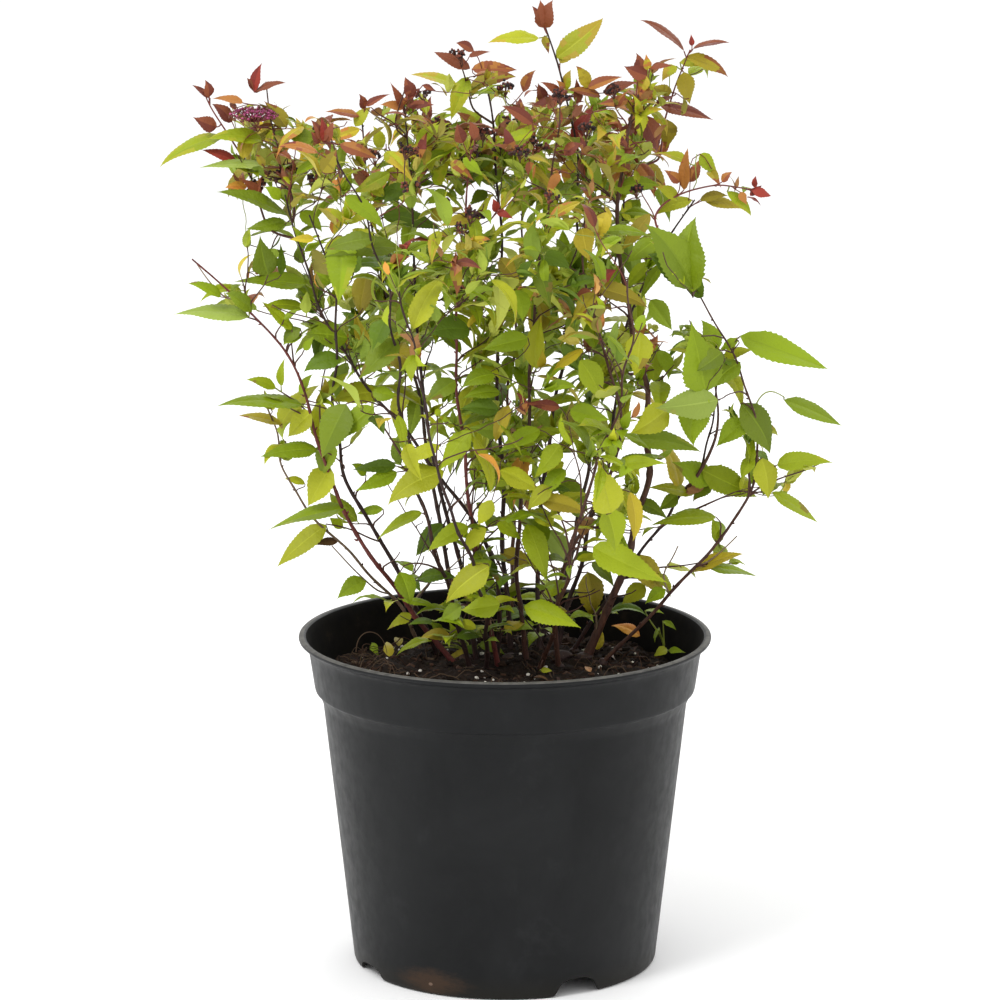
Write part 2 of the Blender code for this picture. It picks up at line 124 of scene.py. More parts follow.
# name: (middle x, y, z, half width, half depth, half height, sprays)
MASSES = {
    "foliage_lower_middle":      (0.010, -0.012, 0.322, 0.058, 0.052, 0.034, 13),
    "foliage_lower_right_inner": (0.082, -0.030, 0.306, 0.034, 0.034, 0.034, 5),
    "foliage_lower_back":        (0.000, 0.116, 0.316, 0.040, 0.036, 0.030, 6),
    "foliage_lower_left":        (-0.151, -0.030, 0.351, 0.031, 0.026, 0.018, 0),
    "foliage_left_foot":         (-0.141, 0.028, 0.270, 0.020, 0.018, 0.020, 0),
    "foliage_right_foot":        (0.138, 0.024, 0.257, 0.028, 0.020, 0.012, 0),
    "foliage_front_left":        (-0.060, -0.132, 0.374, 0.044, 0.040, 0.040, 8),
    "foliage_front_right":       (0.052, -0.134, 0.368, 0.048, 0.042, 0.042, 9),
    "foliage_back_left":         (-0.078, 0.128, 0.398, 0.048, 0.044, 0.044, 10),
    "foliage_back_right":        (0.056, 0.130, 0.402, 0.052, 0.046, 0.044, 11),
    "foliage_middle":            (-0.003, -0.020, 0.420, 0.046, 0.056, 0.062, 13),
    "foliage_left_inner":        (-0.078, -0.010, 0.417, 0.045, 0.056, 0.054, 12),
    "foliage_right_inner":       (0.062, -0.010, 0.418, 0.042, 0.056, 0.060, 12),
    "foliage_left":              (-0.158, -0.030, 0.426, 0.046, 0.048, 0.044, 3),
    "foliage_right":             (0.124, -0.006, 0.414, 0.038, 0.046, 0.044, 3),
    "foliage_lower_right":       (0.174, 0.006, 0.322, 0.039, 0.034, 0.037, 0),
    "foliage_right_spray":       (0.174, 0.000, 0.387, 0.030, 0.022, 0.016, 0),
    "foliage_front_upper_left":  (-0.048, -0.130, 0.468, 0.052, 0.048, 0.044, 11),
    "foliage_front_upper_right": (0.052, -0.128, 0.466, 0.052, 0.048, 0.044, 11),
    "foliage_back_upper_left":   (-0.090, 0.116, 0.498, 0.056, 0.052, 0.048, 14),
    "foliage_back_upper_right":  (0.044, 0.118, 0.504, 0.060, 0.052, 0.048, 15),
    "foliage_upper_left_inner":  (-0.078, -0.035, 0.515, 0.042, 0.052, 0.049, 11),
    "foliage_upper_middle":      (-0.016, 0.012, 0.531, 0.040, 0.050, 0.050, 12),
    "foliage_upper_right":       (0.062, 0.016, 0.530, 0.045, 0.054, 0.049, 14),
    "foliage_upper_left":        (-0.146, -0.005, 0.517, 0.048, 0.055, 0.046, 10),
    "foliage_top_right":         (0.110, 0.060, 0.556, 0.033, 0.032, 0.028, 3),
    "foliage_right_tip":         (0.134, 0.016, 0.492, 0.034, 0.038, 0.029, 3),
    "foliage_left_tip":          (-0.193, -0.020, 0.515, 0.020, 0.020, 0.014, 0),
    "foliage_leader":            (0.027, 0.056, 0.584, 0.037, 0.024, 0.022, 0),
}


# ------------------------------------------------------------------ small maths
def unit(v):
    v = np.asarray(v, float)
    return v / max(np.linalg.norm(v), 1e-12)


def srgb(*c):
    """Linear colour from 0-255 display values."""
    return tuple(((x / 255) / 12.92 if x / 255 <= 0.04045 else ((x / 255 + 0.055) / 1.055) ** 2.4) for x in c)


def stem_run(spec, n):
    t = np.linspace(0.0, 1.0, n)
    fx, fy, tx, ty, tz, bow, sway, crook, deep = spec[:9]
    s1, s2, s3 = (np.sin(k * np.pi * t) for k in (1, 2, 3))
    return np.stack([fx + (tx - fx) * t + bow * s1 + sway * s2 + crook * s3,
                     fy + (ty - fy) * t + deep * s1,
                     FOOT_Z + (tz - FOOT_Z) * t], -1)


def frames_along(P):
    """Tangents and two side directions carried along a line without twisting."""
    T = np.gradient(P, axis=0)
    T /= np.linalg.norm(T, axis=1)[:, None]
    a = np.array([1.0, 0, 0]) if abs(T[0][0]) < 0.8 else np.array([0, 1.0, 0])
    N = np.zeros_like(P)
    n = unit(a - T[0] * (a @ T[0]))
    for i in range(len(P)):
        n = unit(n - T[i] * (n @ T[i]))
        N[i] = n
    return T, N, np.cross(T, N)


# ------------------------------------------------------------------ mesh building
class Pile:
    """Gathers many small shells into one mesh with quads, triangles, slots and smooth groups."""

    def __init__(self):
        self.v, self.q, self.t = [], [], []
        self.qm, self.tm, self.qg, self.tg = [], [], [], []
        self.n = 0

    def add(self, V, Q=None, T=None, qm=0, tm=0, qg=0, tg=0):
        V = np.asarray(V, np.float32)
        if Q is not None and len(Q):
            Q = np.asarray(Q, np.int64)
            self.q.append(Q + self.n)
            self.qm.append(np.broadcast_to(np.asarray(qm, np.int32), (len(Q),)))
            self.qg.append(np.broadcast_to(np.asarray(qg, np.int32), (len(Q),)))
        if T is not None and len(T):
            T = np.asarray(T, np.int64)
            self.t.append(T + self.n)
            self.tm.append(np.broadcast_to(np.asarray(tm, np.int32), (len(T),)))
            self.tg.append(np.broadcast_to(np.asarray(tg, np.int32), (len(T),)))
        self.v.append(V)
        self.n += len(V)

    def tris(self):
        return 2 * sum(map(len, self.q)) + sum(map(len, self.t))

    def make(self, name, mats, smooth=True, groups=False):
        V = np.concatenate(self.v)
        Q = np.concatenate(self.q) if self.q else np.zeros((0, 4), np.int64)
        T = np.concatenate(self.t) if self.t else np.zeros((0, 3), np.int64)
        me = bpy.data.meshes.new(name)
        me.vertices.add(len(V))
        me.vertices.foreach_set("co", V.astype(np.float32).ravel())
        loops = np.concatenate([Q.ravel(), T.ravel()]).astype(np.int32)
        me.loops.add(len(loops))
        me.loops.foreach_set("vertex_index", loops)
        nq, nt = len(Q), len(T)
        me.polygons.add(nq + nt)
        start = np.concatenate([np.arange(nq) * 4, nq * 4 + np.arange(nt) * 3]).astype(np.int32)
        me.polygons.foreach_set("loop_start", start)
        m = np.concatenate((self.qm if self.q else []) + (self.tm if self.t else [])).astype(np.int32)
        me.polygons.foreach_set("material_index", m)
        me.polygons.foreach_set("use_smooth", np.full(nq + nt, smooth, bool))
        for mat in mats:
            me.materials.append(mat)
        me.update(calc_edges=True)
        if groups:
            g = np.concatenate((self.qg if self.q else []) + (self.tg if self.t else []))
            le = np.zeros(len(loops), np.int32)
            me.loops.foreach_get("edge_index", le)
            poly = np.concatenate([np.repeat(np.arange(nq), 4), nq + np.repeat(np.arange(nt), 3)])
            lg = g[poly]
            hi = np.full(len(me.edges), -1, np.int64)
            lo = np.full(len(me.edges), 1 << 30, np.int64)
            np.maximum.at(hi, le, lg)
            np.minimum.at(lo, le, lg)
            sharp = me.attributes.get("sharp_edge") or me.attributes.new("sharp_edge", "BOOLEAN", "EDGE")
            sharp.data.foreach_set("value", (hi != lo))
        me.validate()
        ob = bpy.data.objects.new(name, me)
        bpy.context.scene.collection.objects.link(ob)
        return ob


def tube_shell(P, R, sides, wobble=None, close=True):
    """Vertices, quads and end fans of a round limb along points P with radii R."""
    P, R = np.asarray(P, float), np.asarray(R, float)
    T, N, B = frames_along(P)
    a = np.arange(sides) * (2 * math.pi / sides)
    rr = R[:, None] * (1.0 if wobble is None else wobble)
    V = P[:, None, :] + rr[..., None] * (np.cos(a)[None, :, None] * N[:, None, :] + np.sin(a)[None, :, None] * B[:, None, :])
    V = V.reshape(-1, 3)
    n = len(P)
    i, j = np.meshgrid(np.arange(n - 1), np.arange(sides), indexing="ij")
    j2 = (j + 1) % sides
    Q = np.stack([i * sides + j, i * sides + j2, (i + 1) * sides + j2, (i + 1) * sides + j], -1).reshape(-1, 4)
    Tr = np.zeros((0, 3), int)
    if close:
        V = np.concatenate([V, [P[0] - T[0] * R[0] * 0.3], [P[-1] + T[-1] * R[-1] * 1.2]])
        k = np.arange(sides)
        k2 = (k + 1) % sides
        c0, c1 = n * sides, n * sides + 1
        Tr = np.concatenate([np.stack([np.full(sides, c0), k2, k], -1),
                             np.stack([np.full(sides, c1), (n - 1) * sides + k, (n - 1) * sides + k2], -1)])
    return V, Q, Tr


ICO = None


def bead(centre, radius, squash=1.0):
    """A small round body of 20 faces."""
    global ICO
    if ICO is None:
        p = (1 + 5 ** 0.5) / 2
        V = np.array([(-1, p, 0), (1, p, 0), (-1, -p, 0), (1, -p, 0), (0, -1, p), (0, 1, p), (0, -1, -p), (0, 1, -p),
                      (p, 0, -1), (p, 0, 1), (-p, 0, -1), (-p, 0, 1)], float)
        V /= np.linalg.norm(V[0])
        F = np.array([(0, 11, 5), (0, 5, 1), (0, 1, 7), (0, 7, 10), (0, 10, 11), (1, 5, 9), (5, 11, 4), (11, 10, 2),
                      (10, 7, 6), (7, 1, 8), (3, 9, 4), (3, 4, 2), (3, 2, 6), (3, 6, 8), (3, 8, 9), (4, 9, 5),
                      (2, 4, 11), (6, 2, 10), (8, 6, 7), (9, 8, 1)])
        ICO = (V, F)
    V = ICO[0] * radius * np.array([1, 1, squash]) + np.asarray(centre)
    return V, ICO[1]


# ------------------------------------------------------------------ materials
def plain(name, colour, rough, spec=0.35, crinkle=0.0):
    m = bpy.data.materials.new(name)
    m.use_nodes = True
    b = m.node_tree.nodes["Principled BSDF"]
    b.inputs["Base Color"].default_value = (*colour, 1.0)
    b.inputs["Roughness"].default_value = rough
    b.inputs["Specular IOR Level"].default_value = spec
    m.diffuse_color = (*colour, 1.0)
    if crinkle:
        nt = m.node_tree
        co = nt.nodes.new("ShaderNodeTexCoord")
        n = nt.nodes.new("ShaderNodeTexNoise")
        n.inputs["Scale"].default_value = 520.0
        n.inputs["Detail"].default_value = 2.0
        nt.links.new(co.outputs["Object"], n.inputs["Vector"])
        bp = nt.nodes.new("ShaderNodeBump")
        bp.inputs["Strength"].default_value = crinkle
        bp.inputs["Distance"].default_value = 0.0008
        nt.links.new(n.outputs["Fac"], bp.inputs["Height"])
        nt.links.new(bp.outputs["Normal"], b.inputs["Normal"])
    return m


def tree_of(name, rough=0.5, spec=0.4):
    m = bpy.data.materials.new(name)
    m.use_nodes = True
    nt = m.node_tree
    b = nt.nodes["Principled BSDF"]
    b.inputs["Roughness"].default_value = rough
    b.inputs["Specular IOR Level"].default_value = spec
    co = nt.nodes.new("ShaderNodeTexCoord")
    return m, nt, b, co


def add_noise(nt, co, scale, detail=3.0, rough=0.55, stretch=(1, 1, 1), distort=0.0):
    mp = nt.nodes.new("ShaderNodeMapping")
    mp.inputs["Scale"].default_value = stretch
    nt.links.new(co.outputs["Object"], mp.inputs["Vector"])
    n = nt.nodes.new("ShaderNodeTexNoise")
    n.inputs["Scale"].default_value = scale
    n.inputs["Detail"].default_value = detail
    n.inputs["Roughness"].default_value = rough
    n.inputs["Distortion"].default_value = distort
    nt.links.new(mp.outputs["Vector"], n.inputs["Vector"])
    return n


def add_ramp(nt, source, stops):
    r = nt.nodes.new("ShaderNodeValToRGB")
    while len(r.color_ramp.elements) < len(stops):
        r.color_ramp.elements.new(0.5)
    for e, (at, c) in zip(r.color_ramp.elements, stops):
        e.position = at
        e.color = (*c, 1.0) if len(c) == 3 else c
    nt.links.new(source, r.inputs["Fac"])
    return r


def add_bump(nt, b, source, strength, distance):
    bp = nt.nodes.new("ShaderNodeBump")
    bp.inputs["Strength"].default_value = strength
    bp.inputs["Distance"].default_value = distance
    nt.links.new(source, bp.inputs["Height"])
    nt.links.new(bp.outputs["Normal"], b.inputs["Normal"])
    return bp


def mixed(nt, fac, a, b, mode="MIX"):
    mx = nt.nodes.new("ShaderNodeMix")
    mx.data_type = "RGBA"
    mx.blend_type = mode
    for src, sock in ((fac, mx.inputs[0]), (a, mx.inputs[6]), (b, mx.inputs[7])):
        if hasattr(src, "is_linked") or hasattr(src, "links"):
            nt.links.new(src, sock)
        elif isinstance(src, tuple):
            sock.default_value = (*src, 1.0) if len(src) == 3 else src
        else:
            sock.default_value = src
    return mx.outputs[2]


def bark(name, dark, light, fleck):
    """Thin stem bark: long streaks along the stem, pale flecks, fine ridges."""
    m, nt, b, co = tree_of(name, 0.6, 0.35)
    streak = add_noise(nt, co, 420.0, 3.0, 0.6, (1.0, 1.0, 0.16))
    blot = add_noise(nt, co, 60.0, 2.0, 0.5, (1.0, 1.0, 0.7))
    base = add_ramp(nt, streak.outputs["Fac"], [(0.32, dark), (0.66, light)])
    patch = add_ramp(nt, blot.outputs["Fac"], [(0.40, (0, 0, 0)), (0.68, (1, 1, 1))])
    shade = mixed(nt, patch.outputs["Color"], base.outputs["Color"], tuple(0.6 * d + 0.4 * l for d, l in zip(dark, light)))
    speck = add_noise(nt, co, 900.0, 1.0, 0.5, (1.0, 1.0, 0.5))
    dots = add_ramp(nt, speck.outputs["Fac"], [(0.68, (0, 0, 0)), (0.80, (0.7, 0.7, 0.7))])
    nt.links.new(mixed(nt, dots.outputs["Color"], shade, fleck), b.inputs["Base Color"])
    rr = add_ramp(nt, blot.outputs["Fac"], [(0.3, (0.5,) * 3), (0.7, (0.78,) * 3)])
    nt.links.new(rr.outputs["Color"], b.inputs["Roughness"])
    add_bump(nt, b, streak.outputs["Fac"], 0.5, 0.0003)
    return m


def plastic():
    """Moulded charcoal plastic: faint vertical scuffs, dusty patches, a soil stain low on the front."""
    m, nt, b, co = tree_of("black_plastic", 0.42, 0.15)
    cloud = add_noise(nt, co, 17.0, 6.0, 0.62, (1.0, 1.0, 0.8), 0.4)
    fine = add_noise(nt, co, 150.0, 3.0, 0.6, (1.0, 1.0, 0.7))
    scuff = add_noise(nt, co, 26.0, 7.0, 0.70, (1.0, 1.0, 0.8), 0.3)
    base = add_ramp(nt, cloud.outputs["Fac"], [(0.32, srgb(18, 19, 20)), (0.70, srgb(27, 28, 29))])
    marks = add_ramp(nt, scuff.outputs["Fac"], [(0.56, (0, 0, 0)), (0.80, (0.22, 0.22, 0.22))])
    col = mixed(nt, marks.outputs["Color"], base.outputs["Color"], srgb(58, 59, 61))
    # dust lying in the lower third and a rusty smear of soil at the front foot
    xyz = nt.nodes.new("ShaderNodeSeparateXYZ")
    nt.links.new(co.outputs["Object"], xyz.inputs["Vector"])

    def near(axis, middle, half):
        sub = nt.nodes.new("ShaderNodeMath")
        sub.operation = "SUBTRACT"
        nt.links.new(xyz.outputs[axis], sub.inputs[0])
        sub.inputs[1].default_value = middle
        ab = nt.nodes.new("ShaderNodeMath")
        ab.operation = "ABSOLUTE"
        nt.links.new(sub.outputs[0], ab.inputs[0])
        mr = nt.nodes.new("ShaderNodeMapRange")
        mr.inputs["From Min"].default_value = half
        mr.inputs["From Max"].default_value = 0.0
        nt.links.new(ab.outputs[0], mr.inputs["Value"])
        return mr.outputs["Result"]

    def times(a, b2):
        m2 = nt.nodes.new("ShaderNodeMath")
        m2.operation = "MULTIPLY"
        nt.links.new(a, m2.inputs[0])
        nt.links.new(b2, m2.inputs[1])
        return m2.outputs[0]

    low = add_ramp(nt, xyz.outputs["Z"], [(0.000, (0.55, 0.55, 0.55)), (0.016, (0.0, 0.0, 0.0))])
    col = mixed(nt, low.outputs["Color"], col, srgb(34, 31, 24))
    crumb = add_noise(nt, co, 150.0, 7.0, 0.80, (0.8, 0.8, 2.6), 0.8)
    patch = times(times(times(near("X", -0.045, 0.046), near("Z", 0.0080, 0.015)), near("Y", -0.084, 0.045)), crumb.outputs["Fac"])
    stain = add_ramp(nt, patch, [(0.13, (0, 0, 0)), (0.34, (0.50, 0.50, 0.50))])
    col = mixed(nt, stain.outputs["Color"], col, srgb(76, 56, 41))
    fleck = add_ramp(nt, times(times(near("X", -0.0462, 0.0017), near("Z", 0.0068, 0.0014)), near("Y", -0.084, 0.045)), [(0.14, (0, 0, 0)), (0.34, (0.6, 0.6, 0.6))])
    col = mixed(nt, fleck.outputs["Color"], col, srgb(128, 106, 92))
    nt.links.new(col, b.inputs["Base Color"])
    rr = add_ramp(nt, fine.outputs["Fac"], [(0.3, (0.36,) * 3), (0.7, (0.50,) * 3)])
    rough = mixed(nt, stain.outputs["Color"], rr.outputs["Color"], (0.9, 0.9, 0.9))
    nt.links.new(rough, b.inputs["Roughness"])
    add_bump(nt, b, fine.outputs["Fac"], 0.12, 0.0004)
    return m


def soil_material():
    m, nt, b, co = tree_of("potting_mix", 0.95, 0.2)
    lump = add_noise(nt, co, 260.0, 5.0, 0.7)
    broad = add_noise(nt, co, 30.0, 2.0, 0.5)
    base = add_ramp(nt, lump.outputs["Fac"], [(0.32, srgb(16, 12, 10)), (0.52, srgb(34, 24, 18)), (0.76, srgb(62, 43, 31))])
    wet = add_ramp(nt, broad.outputs["Fac"], [(0.35, (0, 0, 0)), (0.65, (1, 1, 1))])
    col = mixed(nt, wet.outputs["Color"], base.outputs["Color"], srgb(30, 21, 16))
    nt.links.new(col, b.inputs["Base Color"])
    add_bump(nt, b, lump.outputs["Fac"], 0.8, 0.0012)
    return m


# families of leaf colour: blade, second tone (darker; painted shade on one half of the folded blade, and random patches
# on small autumn and gold leaves), tint of edge and tip, underside, midrib
FAMILIES = {
    "deep":    ((84, 107, 16), (76, 98, 15), (98, 116, 24), (108, 132, 44), (98, 122, 30)),
    "moss":    ((106, 123, 20), (96, 113, 18), (116, 124, 26), (124, 144, 48), (116, 136, 36)),
    "mid":     ((123, 143, 14), (114, 133, 12), (134, 144, 26), (138, 158, 50), (138, 156, 38)),
    "fresh":   ((140, 154, 20), (131, 145, 16), (152, 154, 30), (156, 170, 62), (160, 172, 48)),
    "lime":    ((157, 161, 30), (148, 151, 26), (170, 148, 42), (172, 178, 74), (176, 180, 58)),
    "yellow":  ((180, 162, 40), (166, 148, 34), (178, 118, 50), (188, 174, 80), (196, 178, 68)),
    "olive":   ((148, 134, 32), (132, 118, 28), (128, 76, 38), (150, 142, 66), (152, 136, 50)),
    "bronze":  ((156, 102, 48), (130, 72, 44), (112, 50, 40), (154, 112, 68), (150, 96, 54)),
    "redbrown": ((126, 68, 42), (104, 50, 36), (86, 38, 32), (140, 90, 66), (128, 72, 50)),
    "crimson": ((138, 50, 38), (120, 44, 36), (104, 36, 36), (150, 82, 60), (152, 74, 54)),
    "orange":  ((204, 144, 58), (190, 122, 50), (150, 90, 46), (202, 156, 88), (208, 158, 84)),
    "tan":     ((156, 114, 74), (142, 100, 64), (116, 76, 50), (166, 132, 94), (166, 126, 86)),
    "withered": ((92, 66, 42), (78, 54, 36), (62, 42, 30), (104, 80, 56), (98, 72, 50)),
    "pale":    ((140, 158, 66), (130, 148, 58), (148, 154, 66), (150, 168, 84), (156, 172, 86)),
}
LEAF_GROUPS = {
    "leaves_deep_green": ("deep", "moss", "pale"),
    "leaves_green": ("mid",),
    "leaves_fresh": ("fresh",),
    "leaves_lime": ("lime",),
    "leaves_gold": ("yellow", "olive"),
    "leaves_autumn": ("bronze", "redbrown", "crimson", "orange", "tan", "withered"),
}
SHADES = (0.86, 1.0, 1.14)
GROUP_OF, SLOT_OF, LEAF_MATS = {}, {}, {}
for group, families in LEAF_GROUPS.items():
    LEAF_MATS[group] = []
    for fam in families:
        GROUP_OF[fam] = group
        for k, lift in enumerate(SHADES):
            for z, zone in enumerate(("blade", "tone", "edge", "under", "rib", "scar")):
                if zone in ("under", "rib", "scar") and k != 1:
                    continue
                c = srgb(*FAMILIES[fam][z]) if zone != "scar" else tuple(0.42 * x + 0.58 * y for x, y in zip(srgb(*FAMILIES[fam][0]), srgb(118, 78, 42)))
                if zone == "rib":
                    c = tuple(0.25 * x + 0.75 * y for x, y in zip(c, srgb(*FAMILIES[fam][0])))
                c = tuple(min(1.0, x * lift * 1.06) for x in c)
                SLOT_OF[fam, k, zone] = len(LEAF_MATS[group])
                LEAF_MATS[group].append(plain("leaf_%s_%s_%d" % (fam, zone, k), c, 0.50 if zone != "under" else 0.66, 0.24, 0.6))


# ------------------------------------------------------------------ one leaf
def leaf_form(rng, lod):
    """A toothed, pointed blade as a thin closed shell, chord along +X with length 1, face along +Z."""
    teeth, tops, downs = {
        3: (14, (-1, -0.5, -0.05, 0.05, 0.5, 1), (-1, 0, 1)),
        2: (9, (-1, -0.46, -0.06, 0.06, 0.46, 1), (-1, 0, 1)),
        1: (7, (-1, 0, 1), (-1, 0, 1)),
        0: (3, (-1, 0, 1), (-1, 0, 1)),
    }[lod]
    start = rng.uniform(0.12, 0.2)
    S = [0.0, start * 0.45, start]
    tooth = [0.0, 0.0, 0.0]
    pitch = (1 - start) / (teeth + 0.4)
    for i in range(teeth):
        a = start + pitch * i
        j = rng.uniform(0.85, 1.15)
        S += [a + pitch * 0.30, a + pitch * 0.96]
        tooth += [-0.35 * j, 1.0 * j]
    S.append(1.0)
    tooth.append(0.0)
    S, tooth = np.array(S), np.array(tooth)
    a, b = rng.uniform(0.58, 0.80), rng.uniform(1.15, 1.62)
    peak = a / (a + b)
    body = (np.clip(S, 0.0, 1) ** a) * (np.clip(1 - S, 0, 1) ** b) / (peak ** a * (1 - peak) ** b)
    body = np.maximum(body * (1 - 0.25 * S ** 5), 0.02)
    W = rng.uniform(0.32, 0.42)
    hw = body * W / 2
    env = np.clip((1 - S) / 0.10, 0, 1)
    fold = math.radians(rng.uniform(6, 26))
    curl = rng.uniform(0.02, 0.30)
    wave, wphase, wn = rng.uniform(0.02, 0.16), rng.uniform(0, 6.28), rng.uniform(1.2, 2.4)
    k0, k1 = rng.uniform(0.2, 0.9), rng.uniform(0.6, 2.3)
    twist = rng.uniform(-0.7, 0.7)
    sick = rng.uniform(-0.05, 0.05)
    veins = rng.integers(5, 8)
    ns = len(S)
    th = -(k0 * S + 0.5 * k1 * S ** 2)
    ds = np.diff(S, prepend=0.0)
    thm = np.concatenate([[th[0]], (th[1:] + th[:-1]) / 2])
    cx, cz = np.cumsum(np.cos(thm) * ds), np.cumsum(np.sin(thm) * ds)

    def place(i, y, z):
        t = twist * S[i]
        y2, z2 = y * math.cos(t) - z * math.sin(t), y * math.sin(t) + z * math.cos(t)
        return (cx[i] - math.sin(th[i]) * z2, y2 + sick * S[i] ** 2, cz[i] + math.cos(th[i]) * z2)

    def height(i, u):
        au = abs(u)
        z = au * hw[i] * math.tan(fold) - curl * au ** 2.6 * hw[i]
        z += wave * hw[i] * au * math.sin(wn * 2 * math.pi * S[i] + wphase + (1.7 if u > 0 else 0.0))
        return z

    V, top, down = [], np.zeros((ns, len(tops)), int), np.zeros((ns, len(downs)), int)
    thick = 0.006
    for i in range(ns):
        for c, u in enumerate(tops):
            y = u * hw[i]
            if abs(u) == 1:
                y += math.copysign(0.10 * tooth[i] * env[i] * hw[i] + 0.008 * tooth[i] * env[i], u)
            z = height(i, u)
            if abs(u) < 1:
                z += thick * (1 - u * u) * min(1, hw[i] / 0.05)
                if lod >= 2 and abs(u) > 0.1:
                    puff = abs(math.sin(math.pi * (veins * (S[i] - 0.05) - 1.3 * abs(u))))
                    z += 0.020 * hw[i] / 0.18 * puff * (1 - abs(u) ** 3) * env[i]
                if abs(u) < 0.1:
                    z -= 0.010 * min(1, hw[i] / 0.05)
            top[i, c] = len(V)
            V.append(place(i, y, z))
        for c, u in enumerate(downs):
            if abs(u) == 1:
                down[i, c] = top[i, 0 if u < 0 else -1]
                continue
            y = u * hw[i]
            z = height(i, u) - thick * (1 - u * u) * min(1, hw[i] / 0.05)
            if u == 0:
                z -= 0.014 * (1 - S[i]) * min(1, hw[i] / 0.04)
            down[i, c] = len(V)
            V.append(place(i, y, z))
    V = np.array(V)
    Q, zone, grp, su = [], [], [], []
    for i in range(ns - 1):
        for c in range(len(tops) - 1):
            Q.append((top[i, c], top[i + 1, c], top[i + 1, c + 1], top[i, c + 1]))
            um = (tops[c] + tops[c + 1]) / 2
            zone.append(2 if abs(um) < 0.02 and lod >= 2 else 0)
            grp.append(2 if abs(um) < 0.02 and lod >= 2 else (0 if um < 0 else 1))
            su.append(((S[i] + S[i + 1]) / 2, um))
        for c in range(len(downs) - 1):
            Q.append((down[i, c], down[i, c + 1], down[i + 1, c + 1], down[i + 1, c]))
            um = (downs[c] + downs[c + 1]) / 2
            zone.append(1)
            grp.append(3 if um < 0 else 4)
            su.append(((S[i] + S[i + 1]) / 2, um))
    # ends closed with one face each
    first = list(top[0]) + list(down[0][::-1])[1:-1]
    last = list(top[-1]) + list(down[-1][::-1])[1:-1]
    T = [(first[0], first[k], first[k + 1]) for k in range(1, len(first) - 1)]
    T += [(last[0], last[k + 1], last[k]) for k in range(1, len(last) - 1)]
    base = V[top[0]].mean(0)
    tip = V[top[-1]].mean(0)
    e1 = unit(tip - base)
    mid = V[top[ns // 2]].mean(0)
    flat = V[top[ns // 2, -1]] - V[top[ns // 2, 0]]
    e3 = unit(np.cross(e1, flat))
    e2 = np.cross(e3, e1)
    L = np.linalg.norm(tip - base)
    V = ((V - base) @ np.stack([e1, e2, e3], 1)) / L
    su = np.array(su)
    fields = []
    for k in range(5):
        f = np.zeros(len(su))
        for _ in range(4):
            w = rng.normal(size=2) * np.array([9.0, 3.0])
            f += np.sin(su[:, 0] * w[0] + su[:, 1] * w[1] + rng.uniform(0, 6.28))
        fields.append(f / 4)
    return {"arch": float(np.abs(V[:, 2]).max()), "V": V, "Q": np.array(Q), "T": np.array(T), "zone": np.array(zone), "grp": np.array(grp),
            "su": su, "fields": np.array(fields), "width": W / L * (1 - 0.1 * curl)}


FORMS = {lod: [leaf_form(np.random.default_rng(700 + lod * 50 + k), lod) for k in range(22)] for lod in (0, 1, 2, 3)}
for lod in FORMS:
    FORMS[lod].sort(key=lambda q: q["arch"])
LEAVES = {g: Pile() for g in LEAF_GROUPS}
LEAF_COUNT = {"n": 0}


